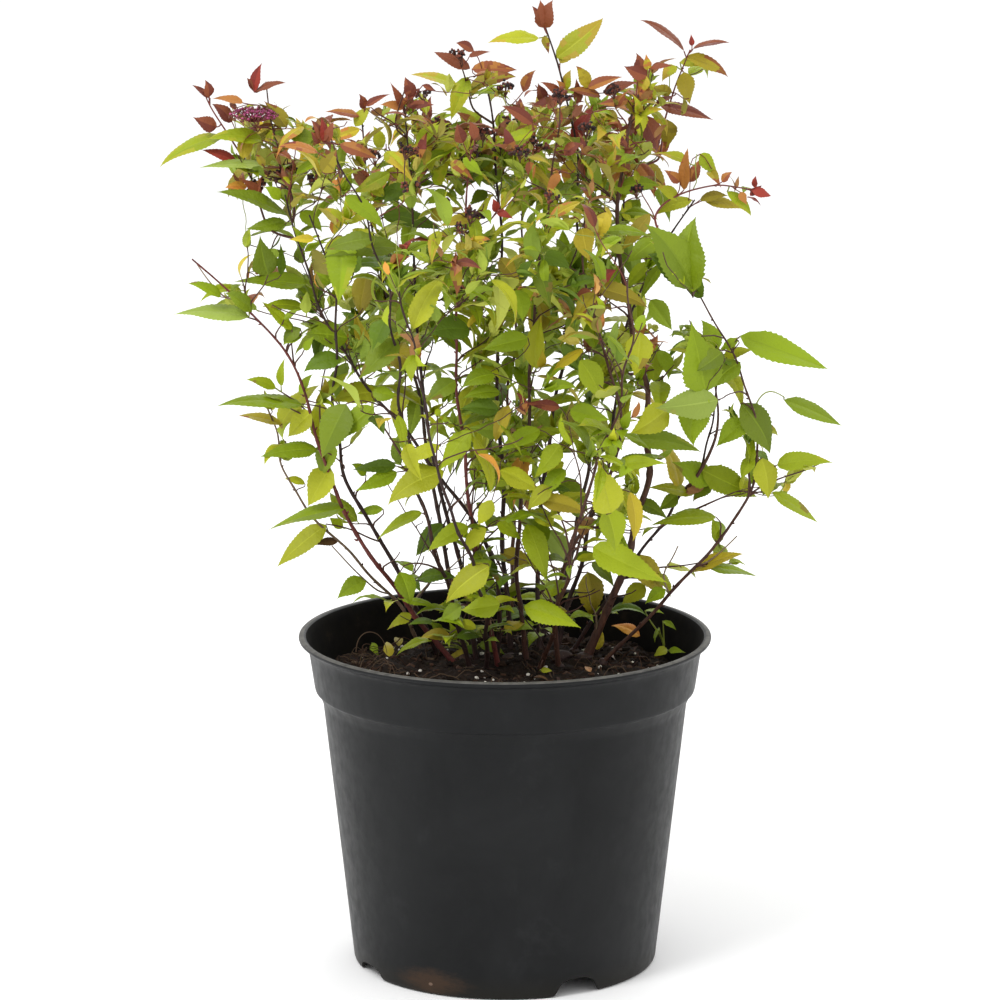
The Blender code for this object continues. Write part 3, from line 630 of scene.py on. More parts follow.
def add_leaf(base, along, face, length, tone, rng, spots=0.0, width=None, lod=None, edge=None, form=None, arch=1.0):
    """Puts one leaf with its base at a point, its chord along a direction, its upper side towards face."""
    if lod is None:
        lod = 3 if length > 0.034 else 2 if length > 0.020 else 1 if length > 0.011 else 0
    pool = FORMS[lod] if form is None else FORMS[lod][form[0]:form[1]]
    f = pool[rng.integers(len(pool))]
    e1 = unit(along)
    e3 = np.asarray(face, float)
    e3 = e3 - e1 * (e3 @ e1)
    if np.linalg.norm(e3) < 1e-4:
        e3 = np.array([0, 0, 1.0]) - e1 * e1[2]
    e3 = unit(e3)
    e2 = np.cross(e3, e1)
    V = f["V"].copy()
    V[:, 2] *= arch
    if width is not None:
        V[:, 1] *= width / f["width"]
    if rng.random() < 0.5:
        V[:, 1] *= -1
        Q, T = f["Q"][:, ::-1], f["T"][:, ::-1]
    else:
        Q, T = f["Q"], f["T"]
    V = (V * length) @ np.stack([e1, e2, e3]) + np.asarray(base)
    shade = int(rng.choice(3, p=(0.3, 0.42, 0.28)))
    other = int(np.clip(shade + rng.integers(-1, 2), 0, 2))
    n1, n2 = f["fields"][rng.integers(5)], f["fields"][rng.integers(5)]
    su, zone = f["su"], f["zone"]
    m = np.full(len(su), SLOT_OF[tone, shade, "blade"])
    # painted shade: three leaves in five take the darker second tone over one half of the blade, as if the fold turned
    # that half from the light
    turn = rng.random()
    if turn < 0.30:
        m[(su[:, 1] > 0) & (zone == 0)] = SLOT_OF[tone, shade, "tone"]
    elif turn < 0.60:
        m[(su[:, 1] < 0) & (zone == 0)] = SLOT_OF[tone, shade, "tone"]
    if length < 0.030 and GROUP_OF[tone] in ("leaves_autumn", "leaves_gold") and rng.random() < 0.5:
        m[(n1 > 0.40) & (zone == 0)] = SLOT_OF[tone, other, "tone"]
    if edge is None:
        edge = rng.uniform(0.0, 0.42) if rng.random() < 0.6 else 0.0
    rim = 0.62 * su[:, 0] + 0.38 * np.abs(su[:, 1]) + 0.30 * n2
    m[(zone == 0) & (rim > 1.18 - edge)] = SLOT_OF[tone, shade, "edge"]
    if 0.015 < length < 0.036 and rng.random() < (0.20 if tone in ("lime", "yellow", "olive", "fresh") else 0.10):
        away = (su[:, 0] - rng.uniform(0.55, 1.0)) ** 2 / 0.012 + (su[:, 1] - rng.choice([-0.75, 0.75])) ** 2 / 0.22
        m[(zone == 0) & (away + 0.6 * n2 < 1.0)] = SLOT_OF[tone, 1, "scar"]
    m[zone == 1] = SLOT_OF[tone, 1, "under"]
    m[zone == 2] = SLOT_OF[tone, 1, "rib"]
    LEAVES[GROUP_OF[tone]].add(V, Q, T, m, SLOT_OF[tone, shade, "blade"], f["grp"], 5)
    LEAF_COUNT["n"] += 1
    return V


# ------------------------------------------------------------------ limbs
TWIGS = {"stem": Pile(), "twig": Pile()}
TWIG_SLOT = {"dark": 0, "brown": 1, "red": 2, "green": 3, "grey": 4, "black": 5}


class Limb:
    """One stem or twig: its run, radii and how high in the branching it is."""

    def __init__(self, P, R, order, bark_kind):
        self.P, self.R, self.order, self.kind = np.asarray(P, float), np.asarray(R, float), order, bark_kind
        self.T = np.gradient(self.P, axis=0)
        self.T /= np.maximum(np.linalg.norm(self.T, axis=1)[:, None], 1e-9)
        step = np.linalg.norm(np.diff(self.P, axis=0), axis=1)
        self.s = np.concatenate([[0], np.cumsum(step)])
        self.length = self.s[-1]

    def at(self, s):
        s = min(max(s, 0.0), self.length)
        p = np.array([np.interp(s, self.s, self.P[:, k]) for k in range(3)])
        t = unit([np.interp(s, self.s, self.T[:, k]) for k in range(3)])
        return p, t, float(np.interp(s, self.s, self.R))


LIMBS = []
for name, spec in STEMS.items():
    P = stem_run(spec, 90)
    tt = np.linspace(0, 1, 90)
    wander = np.random.default_rng(len(name) * 7 + int(spec[0] * 1e4) % 97)
    for axis in (0, 1):
        for _ in range(3):
            P[:, axis] += 0.0007 * np.sin(tt * wander.uniform(12, 46) + wander.uniform(0, 6.28)) * np.minimum(1, tt * 6)
    R = (0.80 if spec[9] > 0.0029 else 0.66) * spec[9] * (1 - 0.70 * tt ** 0.8)
    keep = 78 if name == "stem_left_thin" else 90
    limb = Limb(P[:keep], R[:keep], 0, spec[10])
    limb.name = name
    LIMBS.append(limb)
MAIN = list(LIMBS)

# Stretches of the stems that nothing hangs in front of, by rows of the photograph.
SHOWN = {
    "stem_outer_left": ((300, 610),), "stem_left_diagonal": ((255, 500),), "stem_left_dark": ((440, 600),),
    "stem_inner_left": ((395, 470),), "stem_centre_left": ((372, 470), (500, 560)), "stem_centre_red": ((365, 480), (520, 560)),
    "stem_centre_dark": ((430, 470), (515, 600)), "stem_centre_right": ((345, 420), (540, 600)), "stem_leader": ((470, 520),),
    "stem_right_brown": ((262, 330), (372, 425), (455, 520)), "stem_right_crooked": ((335, 420),), "stem_far_right": ((290, 610),),
    "stem_right_rising": ((395, 440), (510, 600)), "stem_left_thin": ((470, 600),),
}
SHOWN_AT = []
for limb in MAIN:
    q = seen(limb.P)
    for lo, hi in SHOWN.get(limb.name, ()):
        for k in range(len(q)):
            if lo <= q[k, 1] <= hi:
                SHOWN_AT.append((q[k, 0], q[k, 1], limb.P[k, 1]))
SHOWN_AT = np.array(SHOWN_AT)


def hides_stem(points, near=5.0):
    """True if one of these points would stand in front of a stem that the photograph shows."""
    q = seen(points)
    d = np.hypot(q[:, None, 0] - SHOWN_AT[None, :, 0], (q[:, None, 1] - SHOWN_AT[None, :, 1]) * 0.8)
    return bool(((d < near) & (np.asarray(points)[:, None, 1] < SHOWN_AT[None, :, 2] + 0.002)).any())


def hermite(p0, t0, p1, t1, n):
    u = np.linspace(0, 1, n)[:, None]
    L = np.linalg.norm(np.asarray(p1) - p0)
    return ((2 * u ** 3 - 3 * u ** 2 + 1) * p0 + (u ** 3 - 2 * u ** 2 + u) * L * t0
            + (-2 * u ** 3 + 3 * u ** 2) * p1 + (u ** 3 - u ** 2) * L * t1)


def grow(parent, s, target, order, kind, rng, r0=None, end_dir=None, r1=0.00035):
    """A twig from a point on a limb to a target: leaves the limb at a slant and turns outward and up."""
    p, t, r = parent.at(s)
    gap = np.asarray(target) - p
    d = np.linalg.norm(gap)
    t0 = unit(0.55 * t + 0.65 * gap / d + np.array([0, 0, 0.10]))
    t1 = end_dir if end_dir is not None else unit(gap / d + 0.25 * unit([target[0], target[1], 0.05]) + np.array([0, 0, 0.30]))
    n = max(5, int(d / 0.0045))
    P = hermite(p, t0, np.asarray(target, float), unit(t1), n)
    u = np.linspace(0, 1, n)
    side = unit(np.cross(t0, [0.3, 0.2, 1]))
    zig = 0.0007 * np.sin(u * math.pi * max(2, d / 0.011)) * np.sin(math.pi * u)
    P = P + zig[:, None] * side
    start = r0 if r0 is not None else min(0.62 * r, 0.00055 + d * 0.0105)
    R = start + (r1 - start) * u ** 0.8
    limb = Limb(P, R, order, kind)
    LIMBS.append(limb)
    return limb


# ------------------------------------------------------------------ leaves that stand out in the photograph
# base pixel, tip pixel, widest pixels, tone, [tip nearer the camera by metres]
SET_LEAVES = [
    # left side, from the top down
    (224, 136, 160, 167, 13, "fresh", 0.0), (262, 140, 208, 139, 13, "fresh", 0.004), (268, 166, 199, 168, 8, "pale", 0.0), (236, 161, 202, 150, 8, "crimson", 0.0),
    (247, 187, 225, 188, 8, "orange", 0.0), (288, 216, 217, 192, 12, "moss", 0.0), (284, 222, 246, 229, 12, "moss", 0.0),
    (268, 275, 260, 235, 28, "moss", 0.004), (281, 275, 280, 243, 5, "deep", 0.0), (314, 239, 288, 240, 7, "yellow", 0.004), (306, 284, 233, 282, 13, "mid", 0.0), (221, 297, 188, 284, 8, "mid", 0.0),
    (252, 311, 225, 293, 14, "moss", 0.004), (249, 317, 173, 315, 13, "pale", 0.0), (292, 330, 262, 302, 8, "fresh", 0.0),
    (305, 308, 262, 307, 9, "fresh", 0.0), (284, 320, 300, 309, 5, "mid", 0.0), (300, 328, 284, 345, 12, "moss", 0.0), (302, 405, 215, 407, 12, "mid", 0.0), (276, 388, 246, 380, 10, "fresh", 0.0),
    (281, 386, 285, 358, 6, "fresh", 0.0), (282, 424, 238, 416, 7, "olive", 0.0), (317, 449, 260, 457, 13, "mid", 0.0),
    (311, 412, 288, 437, 20, "lime", 0.006), (346, 404, 322, 458, 30, "moss", 0.012), (330, 440, 322, 475, 22, "moss", 0.008), (374, 407, 342, 440, 20, "mid", 0.010), (440, 446, 402, 463, 13, "lime", 0.012), (398, 415, 404, 449, 9, "fresh", 0.010),
    (330, 467, 308, 506, 29, "lime", 0.006), (305, 484, 284, 479, 7, "lime", 0.0), (345, 508, 267, 531, 10, "mid", 0.0),
    (326, 525, 277, 567, 17, "lime", 0.0), (343, 528, 330, 518, 8, "fresh", 0.0), (366, 580, 337, 599, 17, "mid", 0.0),
    (400, 572, 410, 605, 24, "mid", 0.010), (397, 472, 355, 491, 13, "mid", 0.0), (396, 466, 352, 470, 10, "deep", 0.0),
    (444, 471, 388, 505, 27, "lime", 0.012), (422, 513, 377, 541, 8, "fresh", 0.0), (366, 475, 351, 464, 11, "mid", 0.0), (383, 509, 357, 514, 8, "mid", 0.0),
    (443, 524, 416, 556, 18, "deep", 0.008), (468, 526, 428, 552, 17, "fresh", 0.012), (398, 340, 359, 379, 24, "moss", 0.010),
    (348, 338, 305, 334, 28, "mid", 0.0), (342, 358, 304, 372, 18, "deep", 0.0), (378, 392, 332, 402, 22, "lime", 0.008),
    (410, 385, 395, 428, 18, "lime", 0.008), (420, 388, 408, 440, 16, "mid", 0.008), (385, 320, 372, 352, 26, "deep", 0.008),
    (342, 236, 338, 303, 28, "mid", 0.010), (372, 392, 397, 396, 16, "mid", 0.010), (494, 374, 462, 388, 17, "mid", 0.010), (375, 238, 326, 250, 16, "moss", 0.004), (367, 273, 360, 316, 20, "olive", 0.008),
    (302, 336, 283, 345, 8, "mid", 0.0), (326, 392, 350, 372, 10, "fresh", 0.0), (300, 394, 313, 374, 8, "mid", 0.0), (304, 350, 314, 336, 7, "mid", 0.0),
    (338, 541, 314, 545, 7, "withered", 0.0), (262, 196, 240, 178, 9, "redbrown", 0.0), (252, 198, 262, 176, 7, "bronze", 0.0),
    (232, 122, 212, 104, 12, "redbrown", 0.0), (324, 142, 311, 120, 7, "redbrown", 0.004), (325, 142, 321, 116, 6, "crimson", 0.004),
    (326, 142, 334, 121, 8, "redbrown", 0.004), (322, 141, 331, 129, 12, "redbrown", 0.004), (320, 143, 311, 132, 8, "redbrown", 0.004),
    (300, 212, 322, 232, 14, "mid", 0.0), (345, 196, 384, 230, 14, "mid", 0.0), (390, 215, 440, 230, 14, "deep", 0.0),
    # tips and upper leaves of the left and the middle
    (209, 97, 205, 80, 10, "redbrown", 0.0), (210, 98, 192, 85, 4, "redbrown", 0.0), (243, 103, 212, 99, 6, "bronze", 0.0),
    (217, 127, 193, 117, 14, "redbrown", 0.0), (254, 92, 262, 63, 10, "crimson", 0.0), (255, 91, 286, 83, 5, "redbrown", 0.0),
    (253, 90, 247, 78, 4, "redbrown", 0.0), (287, 127, 264, 101, 14, "olive", 0.0), (313, 138, 283, 135, 15, "moss", 0.0),
    (318, 153, 278, 147, 8, "bronze", 0.0), (360, 116, 325, 112, 6, "bronze", 0.0), (364, 109, 359, 94, 8, "redbrown", 0.0),
    (366, 106, 391, 94, 5, "redbrown", 0.0), (360, 129, 327, 141, 10, "yellow", 0.004), (340, 144, 378, 159, 10, "bronze", 0.004),
    (322, 172, 337, 148, 16, "olive", 0.0), (355, 126, 371, 107, 11, "lime", 0.0), (380, 150, 373, 126, 12, "lime", 0.0),
    (434, 148, 390, 157, 11, "yellow", 0.004), (390, 173, 352, 193, 14, "fresh", 0.004), (409, 189, 373, 201, 14, "deep", 0.004),
    (383, 217, 444, 228, 13, "mid", 0.004), (400, 248, 322, 258, 17, "moss", 0.010), (404, 109, 390, 82, 6, "redbrown", 0.0),
    (407, 106, 434, 105, 7, "redbrown", 0.0), (403, 109, 380, 105, 8, "bronze", 0.0), (413, 97, 405, 77, 15, "redbrown", 0.0),
    (423, 85, 436, 91, 4, "redbrown", 0.0), (470, 68, 434, 52, 11, "redbrown", 0.0), (469, 57, 491, 52, 4, "redbrown", 0.0),
    (472, 69, 517, 70, 13, "bronze", 0.0), (457, 85, 410, 75, 8, "lime", 0.0), (468, 77, 451, 120, 17, "fresh", 0.006),
    (467, 95, 482, 88, 8, "yellow", 0.004), (470, 86, 516, 77, 12, "olive", 0.0), (474, 139, 469, 121, 10, "redbrown", 0.0),
    (463, 143, 457, 123, 11, "redbrown", 0.004), (523, 92, 536, 70, 9, "bronze", 0.0), (531, 112, 572, 98, 11, "redbrown", 0.0),
    (578, 103, 576, 78, 8, "redbrown", 0.0), (533, 124, 502, 106, 11, "redbrown", 0.004), (544, 36, 549, 54, 6, "olive", 0.0), (566, 90, 571, 70, 8, "lime", 0.0), (474, 51, 456, 43, 8, "redbrown", 0.0), (476, 125, 455, 112, 7, "olive", 0.004), (573, 141, 594, 104, 12, "crimson", 0.008),
    (569, 135, 539, 138, 10, "bronze", 0.006), (564, 155, 583, 144, 14, "redbrown", 0.008), (591, 141, 624, 136, 9, "olive", 0.004),
    (618, 132, 616, 115, 13, "redbrown", 0.0), (588, 88, 623, 77, 8, "bronze", 0.0), (487, 176, 512, 179, 18, "mid", 0.008),
    (533, 132, 497, 142, 9, "fresh", 0.004), (571, 160, 564, 183, 14, "yellow", 0.008), (496, 212, 493, 199, 11, "crimson", 0.012),
    (497, 211, 514, 219, 6, "crimson", 0.012), (434, 184, 451, 162, 14, "fresh", 0.008), (430, 216, 464, 207, 13, "olive", 0.008), (451, 161, 474, 181, 9, "olive", 0.006),
    (463, 158, 483, 176, 9, "mid", 0.0), (409, 191, 383, 204, 14, "deep", 0.0), (473, 216, 440, 226, 10, "olive", 0.012),
    (487, 191, 470, 206, 16, "moss", 0.008), (383, 215, 428, 224, 16, "deep", 0.0), (614, 186, 641, 193, 17, "mid", 0.006),
    # right side, from the top down
    (544, 28, 540, 0, 17, "redbrown", 0.0), (545, 28, 553, 0, 18, "redbrown", 0.004), (544, 26, 532, 6, 7, "redbrown", 0.0), (539, 38, 488, 43, 11, "lime", 0.0),
    (556, 58, 603, 18, 22, "lime", 0.0), (560, 63, 580, 46, 14, "olive", 0.004), (588, 88, 576, 66, 12, "yellow", 0.0),
    (684, 51, 640, 20, 8, "redbrown", 0.0), (693, 49, 730, 43, 5, "redbrown", 0.0), (692, 46, 691, 34, 4, "crimson", 0.0),
    (686, 57, 728, 77, 12, "olive", 0.0), (680, 62, 704, 67, 10, "lime", 0.0), (684, 72, 690, 104, 16, "olive", 0.0),
    (676, 66, 662, 82, 14, "lime", 0.0), (648, 76, 624, 66, 14, "redbrown", 0.0), (637, 81, 636, 53, 20, "redbrown", 0.0), (628, 100, 597, 104, 10, "bronze", 0.0), (672, 92, 650, 86, 10, "olive", 0.0), (648, 70, 646, 54, 7, "yellow", 0.0), (650, 68, 673, 66, 4, "redbrown", 0.0),
    (645, 75, 638, 96, 14, "yellow", 0.0), (660, 105, 713, 120, 11, "redbrown", 0.0), (643, 116, 657, 152, 18, "redbrown", 0.0),
    (668, 120, 665, 150, 18, "olive", 0.0), (640, 163, 667, 190, 10, "olive", 0.0), (616, 190, 660, 186, 16, "mid", 0.0), (648, 162, 668, 197, 12, "olive", 0.0), (678, 200, 655, 187, 12, "lime", 0.0), (680, 182, 664, 170, 9, "bronze", 0.0),
    (684, 190, 688, 148, 8, "bronze", 0.0), (700, 154, 718, 175, 12, "fresh", 0.0), (690, 182, 702, 158, 10, "bronze", 0.0),
    (752, 190, 771, 196, 8, "crimson", 0.0), (755, 188, 756, 176, 4, "crimson", 0.0), (727, 192, 751, 216, 9, "fresh", 0.0),
    (722, 182, 732, 172, 8, "bronze", 0.0), (700, 200, 728, 196, 10, "olive", 0.0), (704, 200, 742, 209, 9, "olive", 0.0), (692, 200, 656, 215, 12, "lime", 0.0),
    (740, 192, 747, 205, 8, "bronze", 0.0), (545, 101, 538, 83, 10, "redbrown", 0.0), (280, 200, 264, 187, 10, "mid", 0.0),
    (694, 494, 648, 488, 9, "lime", 0.0), (636, 502, 668, 520, 14, "moss", 0.0), (446, 190, 427, 204, 10, "mid", 0.0), (454, 230, 438, 243, 9, "fresh", 0.0),
    (693, 292, 696, 217, 36, "mid", 0.014), (692, 288, 645, 224, 38, "moss", 0.010), (690, 285, 648, 254, 28, "deep", 0.018),
    (697, 298, 700, 268, 22, "deep", 0.006), (740, 336, 828, 369, 22, "mid", 0.004), (738, 340, 722, 352, 8, "mid", 0.0),
    (784, 400, 842, 426, 13, "mid", 0.0), (777, 465, 833, 463, 18, "fresh", 0.0), (762, 458, 768, 499, 32, "lime", 0.008),
    (772, 492, 818, 523, 10, "fresh", 0.0), (741, 404, 770, 454, 27, "moss", 0.006), (745, 420, 716, 447, 20, "mid", 0.006),
    (702, 470, 757, 497, 25, "fresh", 0.006), (714, 482, 672, 462, 22, "mid", 0.004), (662, 376, 653, 399, 7, "moss", 0.0), (712, 485, 693, 502, 12, "moss", 0.0), (677, 495, 658, 510, 12, "moss", 0.0), (753, 457, 742, 480, 12, "fresh", 0.004), (716, 517, 650, 526, 12, "fresh", 0.0),
    (692, 572, 744, 554, 10, "yellow", 0.0), (708, 567, 758, 577, 6, "mid", 0.0), (706, 392, 691, 321, 38, "mid", 0.010),
    (722, 352, 694, 372, 18, "moss", 0.012), (718, 400, 655, 408, 28, "pale", 0.012), (704, 392, 694, 446, 30, "mid", 0.006), (740, 362, 711, 389, 21, "mid", 0.004), (714, 354, 701, 320, 24, "mid", 0.004),
    (640, 332, 634, 376, 40, "lime", 0.016), (668, 408, 629, 434, 26, "lime", 0.014), (629, 439, 701, 452, 16, "moss", 0.006),
    (611, 513, 598, 459, 28, "lime", 0.010), (606, 508, 615, 552, 26, "fresh", 0.012), (630, 492, 633, 541, 14, "yellow", 0.014),
    (527, 524, 547, 583, 22, "fresh", 0.010), (560, 478, 588, 513, 20, "moss", 0.006), (593, 547, 668, 583, 28, "fresh", 0.012), (634, 556, 663, 594, 22, "olive", 0.004),
    (588, 572, 590, 617, 24, "olive", 0.008), (524, 606, 581, 628, 21, "fresh", 0.010), (645, 585, 622, 604, 20, "lime", 0.004), (665, 589, 645, 604, 12, "mid", 0.004), (592, 562, 614, 588, 13, "moss", 0.004),
    (704, 478, 684, 495, 12, "tan", 0.004), (660, 350, 668, 380, 14, "mid", 0.0), (650, 300, 672, 330, 18, "mid", 0.0),
    (622, 204, 650, 228, 16, "lime", 0.004), (640, 200, 618, 236, 16, "mid", 0.004), (650, 214, 622, 250, 13, "olive", 0.004),
    (655, 240, 628, 262, 17, "mid", 0.004), (648, 262, 625, 290, 11, "fresh", 0.0), (664, 262, 641, 300, 7, "mid", 0.0), (660, 270, 633, 283, 7, "mid", 0.0),
    (560, 96, 540, 82, 8, "redbrown", 0.0), (566, 96, 556, 80, 7, "bronze", 0.0), (600, 96, 567, 90, 8, "bronze", 0.0), (604, 93, 638, 82, 9, "redbrown", 0.0),
    # middle
    (560, 444, 534, 478, 18, "fresh", 0.012), (566, 470, 541, 500, 16, "mid", 0.012), (552, 486, 528, 510, 15, "lime", 0.012),
    (538, 500, 586, 514, 16, "olive", 0.010), (548, 530, 574, 566, 19, "pale", 0.008), (500, 552, 536, 566, 15, "olive", 0.008),
    (486, 528, 466, 552, 14, "lime", 0.012), (498, 520, 522, 540, 13, "fresh", 0.012),
    (582, 228, 590, 262, 30, "yellow", 0.016), (606, 212, 600, 240, 26, "yellow", 0.014), (598, 284, 617, 270, 12, "crimson", 0.012),
    (590, 290, 573, 300, 10, "bronze", 0.012), (598, 288, 648, 308, 17, "olive", 0.012), (515, 290, 522, 322, 26, "mid", 0.012),
    (500, 258, 522, 286, 14, "olive", 0.012), (540, 255, 570, 270, 16, "deep", 0.010), (528, 338, 482, 350, 20, "mid", 0.012),
    (470, 330, 425, 336, 26, "deep", 0.010), (560, 407, 525, 403, 8, "redbrown", 0.014), (570, 410, 610, 420, 18, "mid", 0.012),
    (489, 566, 446, 603, 25, "lime", 0.012), (500, 604, 461, 610, 20, "fresh", 0.012),
    (461, 605, 440, 620, 14, "mid", 0.010), (500, 470, 540, 492, 18, "lime", 0.012), (470, 430, 440, 470, 20, "fresh", 0.012),
    (540, 430, 500, 452, 16, "mid", 0.012), (500, 392, 462, 399, 14, "mid", 0.012), (499, 410, 460, 409, 16, "deep", 0.012), (502, 430, 468, 427, 16, "moss", 0.012), (492, 500, 478, 525, 14, "lime", 0.012), (580, 360, 600, 400, 22, "fresh", 0.012), (455, 380, 425, 402, 18, "moss", 0.012),
    # shoots in the pot
    (434, 640, 396, 667, 11, "fresh", 0.004), (412, 614, 387, 630, 9, "lime", 0.0), (436, 645, 438, 677, 13, "deep", 0.0),
    (468, 656, 448, 677, 13, "olive", 0.0), (479, 644, 505, 657, 12, "fresh", 0.0), (478, 660, 460, 670, 9, "deep", 0.0),
    (372, 643, 379, 656, 7, "mid", 0.0), (645, 611, 664, 614, 5, "mid", 0.0), (663, 621, 676, 630, 6, "mid", 0.0),
    (659, 628, 655, 643, 4, "mid", 0.0), (666, 648, 654, 656, 11, "lime", 0.0), (669, 650, 686, 653, 6, "mid", 0.0),
    (541, 676, 552, 678, 5, "lime", 0.0),
]


# ------------------------------------------------------------------ what the photograph shows of the crown
# Outline of the crown, and the gaps where the pale ground shows, in pixels of the photograph.
OUTLINE = np.array([
    (292, 560), (268, 540), (262, 500), (258, 470), (246, 440), (240, 405), (262, 372), (264, 334), (240, 322), (200, 318), (190, 298),
    (208, 262), (232, 240), (222, 200), (212, 190), (206, 176), (214, 160), (212, 132), (222, 108), (246, 104),
    (286, 116), (312, 122), (340, 112), (372, 102), (402, 92), (430, 78), (446, 62), (476, 56), (500, 70), (524, 80),
    (548, 88), (572, 86), (604, 86), (622, 74), (640, 62), (664, 60), (690, 56),
    (712, 66), (706, 84), (696, 96), (690, 112), (680, 140), (700, 156), (722, 176), (752, 190), (744, 206), (706, 212),
    (712, 258), (712, 292), (738, 330), (790, 348), (828, 368), (826, 400), (842, 422), (834, 462), (820, 480), (818, 522),
    (780, 520), (760, 560), (756, 576), (706, 590), (640, 610), (560, 620), (470, 620), (400, 606), (340, 596)], float)
WINDOWS = [  # middle x, y, half width, half height
    (222, 232, 22, 28), (262, 205, 16, 12), (240, 262, 16, 12), (262, 345, 20, 22), (246, 432, 28, 11), (298, 432, 9, 20),
    (292, 480, 22, 18), (318, 545, 12, 9), (362, 432, 14, 17), (372, 478, 12, 9), (345, 552, 18, 12), (398, 548, 12, 9),
    (378, 600, 14, 9), (430, 500, 8, 7), (300, 350, 9, 12), (326, 392, 7, 8), (345, 376, 6, 6), (360, 205, 7, 9),
    (312, 186, 9, 10), (296, 152, 8, 8), (322, 160, 6, 8), (392, 160, 7, 9), (346, 150, 6, 6), (404, 268, 6, 8),
    (416, 300, 6, 6), (452, 120, 7, 7), (470, 108, 6, 8), (520, 78, 10, 10), (548, 72, 7, 12), (600, 66, 9, 12),
    (612, 100, 7, 7), (626, 118, 6, 6), (690, 128, 12, 9), (640, 140, 7, 6), (700, 222, 10, 9), (672, 210, 9, 7),
    (686, 176, 8, 5), (630, 205, 7, 8), (638, 268, 9, 10), (668, 284, 15, 12), (664, 318, 14, 14), (620, 300, 9, 8),
    (612, 330, 7, 9), (735, 300, 14, 24), (770, 376, 20, 9), (744, 388, 10, 12), (702, 368, 9, 9), (716, 392, 6, 6),
    (718, 306, 11, 20), (774, 416, 12, 20), (762, 367, 22, 9), (750, 546, 16, 16), (734, 456, 13, 13), (376, 450, 26, 12), (487, 117, 13, 11),
    (434, 102, 11, 13), (228, 272, 14, 7), (680, 216, 12, 7), (686, 306, 10, 16), (684, 134, 12, 15), (290, 256, 9, 15), (346, 174, 7, 9), (347, 206, 8, 10), (364, 262, 8, 7), (362, 282, 7, 8),
    (306, 558, 14, 14), (347, 480, 9, 22), (660, 541, 20, 9), (790, 376, 22, 14), (794, 414, 18, 12), (808, 482, 20, 9), (806, 436, 24, 14), (572, 466, 14, 18),
    (730, 440, 12, 8), (800, 446, 22, 9), (812, 398, 14, 8), (740, 512, 26, 14), (796, 508, 12, 8), (700, 506, 14, 8),
    (685, 552, 20, 12), (664, 508, 10, 12), (650, 480, 8, 10), (580, 470, 7, 8), (592, 522, 8, 10), (566, 530, 7, 9),
    (612, 566, 12, 7), (560, 600, 9, 9), (480, 548, 7, 9), (520, 566, 6, 9), (500, 530, 5, 8), (458, 460, 6, 6),
    (536, 450, 5, 6), (436, 590, 9, 7), (700, 330, 5, 5), (722, 460, 7, 6), (664, 440, 8, 6), (640, 452, 6, 6),
    (822, 442, 14, 20), (808, 500, 14, 10), (700, 545, 14, 18), (236, 268, 9, 14), (276, 293, 13, 6), (264, 318, 9, 7), (294, 320, 8, 9),
    (232, 149, 18, 5), (486, 122, 10, 12), (283, 503, 22, 18), (294, 530, 22, 12), (760, 360, 20, 8), (428, 564, 16, 14), (261, 438, 8, 14),
    (580, 480, 12, 12), (404, 553, 8, 10), (365, 573, 16, 15), (474, 112, 9, 9), (248, 345, 18, 24), (660, 289, 16, 10), (242, 213, 14, 9), (220, 180, 12, 7), (755, 366, 12, 14), (788, 445, 14, 9), (741, 392, 9, 9), (730, 538, 9, 11), (778, 511, 9, 9), (675, 423, 11, 9), (272, 437, 9, 12), (382, 383, 9, 8), (669, 299, 10, 14), (406, 555, 8, 12), (352, 176, 7, 9), (434, 96, 12, 7), (398, 511, 14, 5), (402, 533, 14, 8), (372, 532, 9, 12), (386, 552, 12, 11), (438, 566, 20, 13), (684, 216, 10, 11), (712, 305, 9, 9), (412, 527, 18, 10), (694, 217, 16, 11), (655, 285, 9, 7),
]
WINDOWS = np.array(WINDOWS, float)


def inside_outline(p):
    x, y = p
    X, Y = OUTLINE[:, 0], OUTLINE[:, 1]
    X2, Y2 = np.roll(X, -1), np.roll(Y, -1)
    cross = ((Y > y) != (Y2 > y)) & (x < (X2 - X) * (y - Y) / (Y2 - Y + 1e-12) + X)
    return bool(cross.sum() % 2)


def in_window(p, ease=1.0):
    d = ((p[0] - WINDOWS[:, 0]) / (WINDOWS[:, 2] * ease)) ** 2 + ((p[1] - WINDOWS[:, 1]) / (WINDOWS[:, 3] * ease)) ** 2
    return bool((d < 1).any())


CELL = 6
KEEP = np.full((1000 // CELL + 2, 1000 // CELL + 2), 9.0)      # depth of the set leaves, seen from the front


def cover(V):
    p = seen(V)
    i = np.clip((p / CELL).astype(int), 0, KEEP.shape[0] - 1)
    np.minimum.at(KEEP, (i[:, 0], i[:, 1]), V[:, 1])


def hides_set(V):
    """Share of these points that stand in front of a set leaf in the photograph's view."""
    p = seen(V)
    i = np.clip((p / CELL).astype(int), 0, KEEP.shape[0] - 1)
    k = KEEP[i[:, 0], i[:, 1]]
    return float(((k < 5) & (V[:, 1] < k + 0.004)).mean())


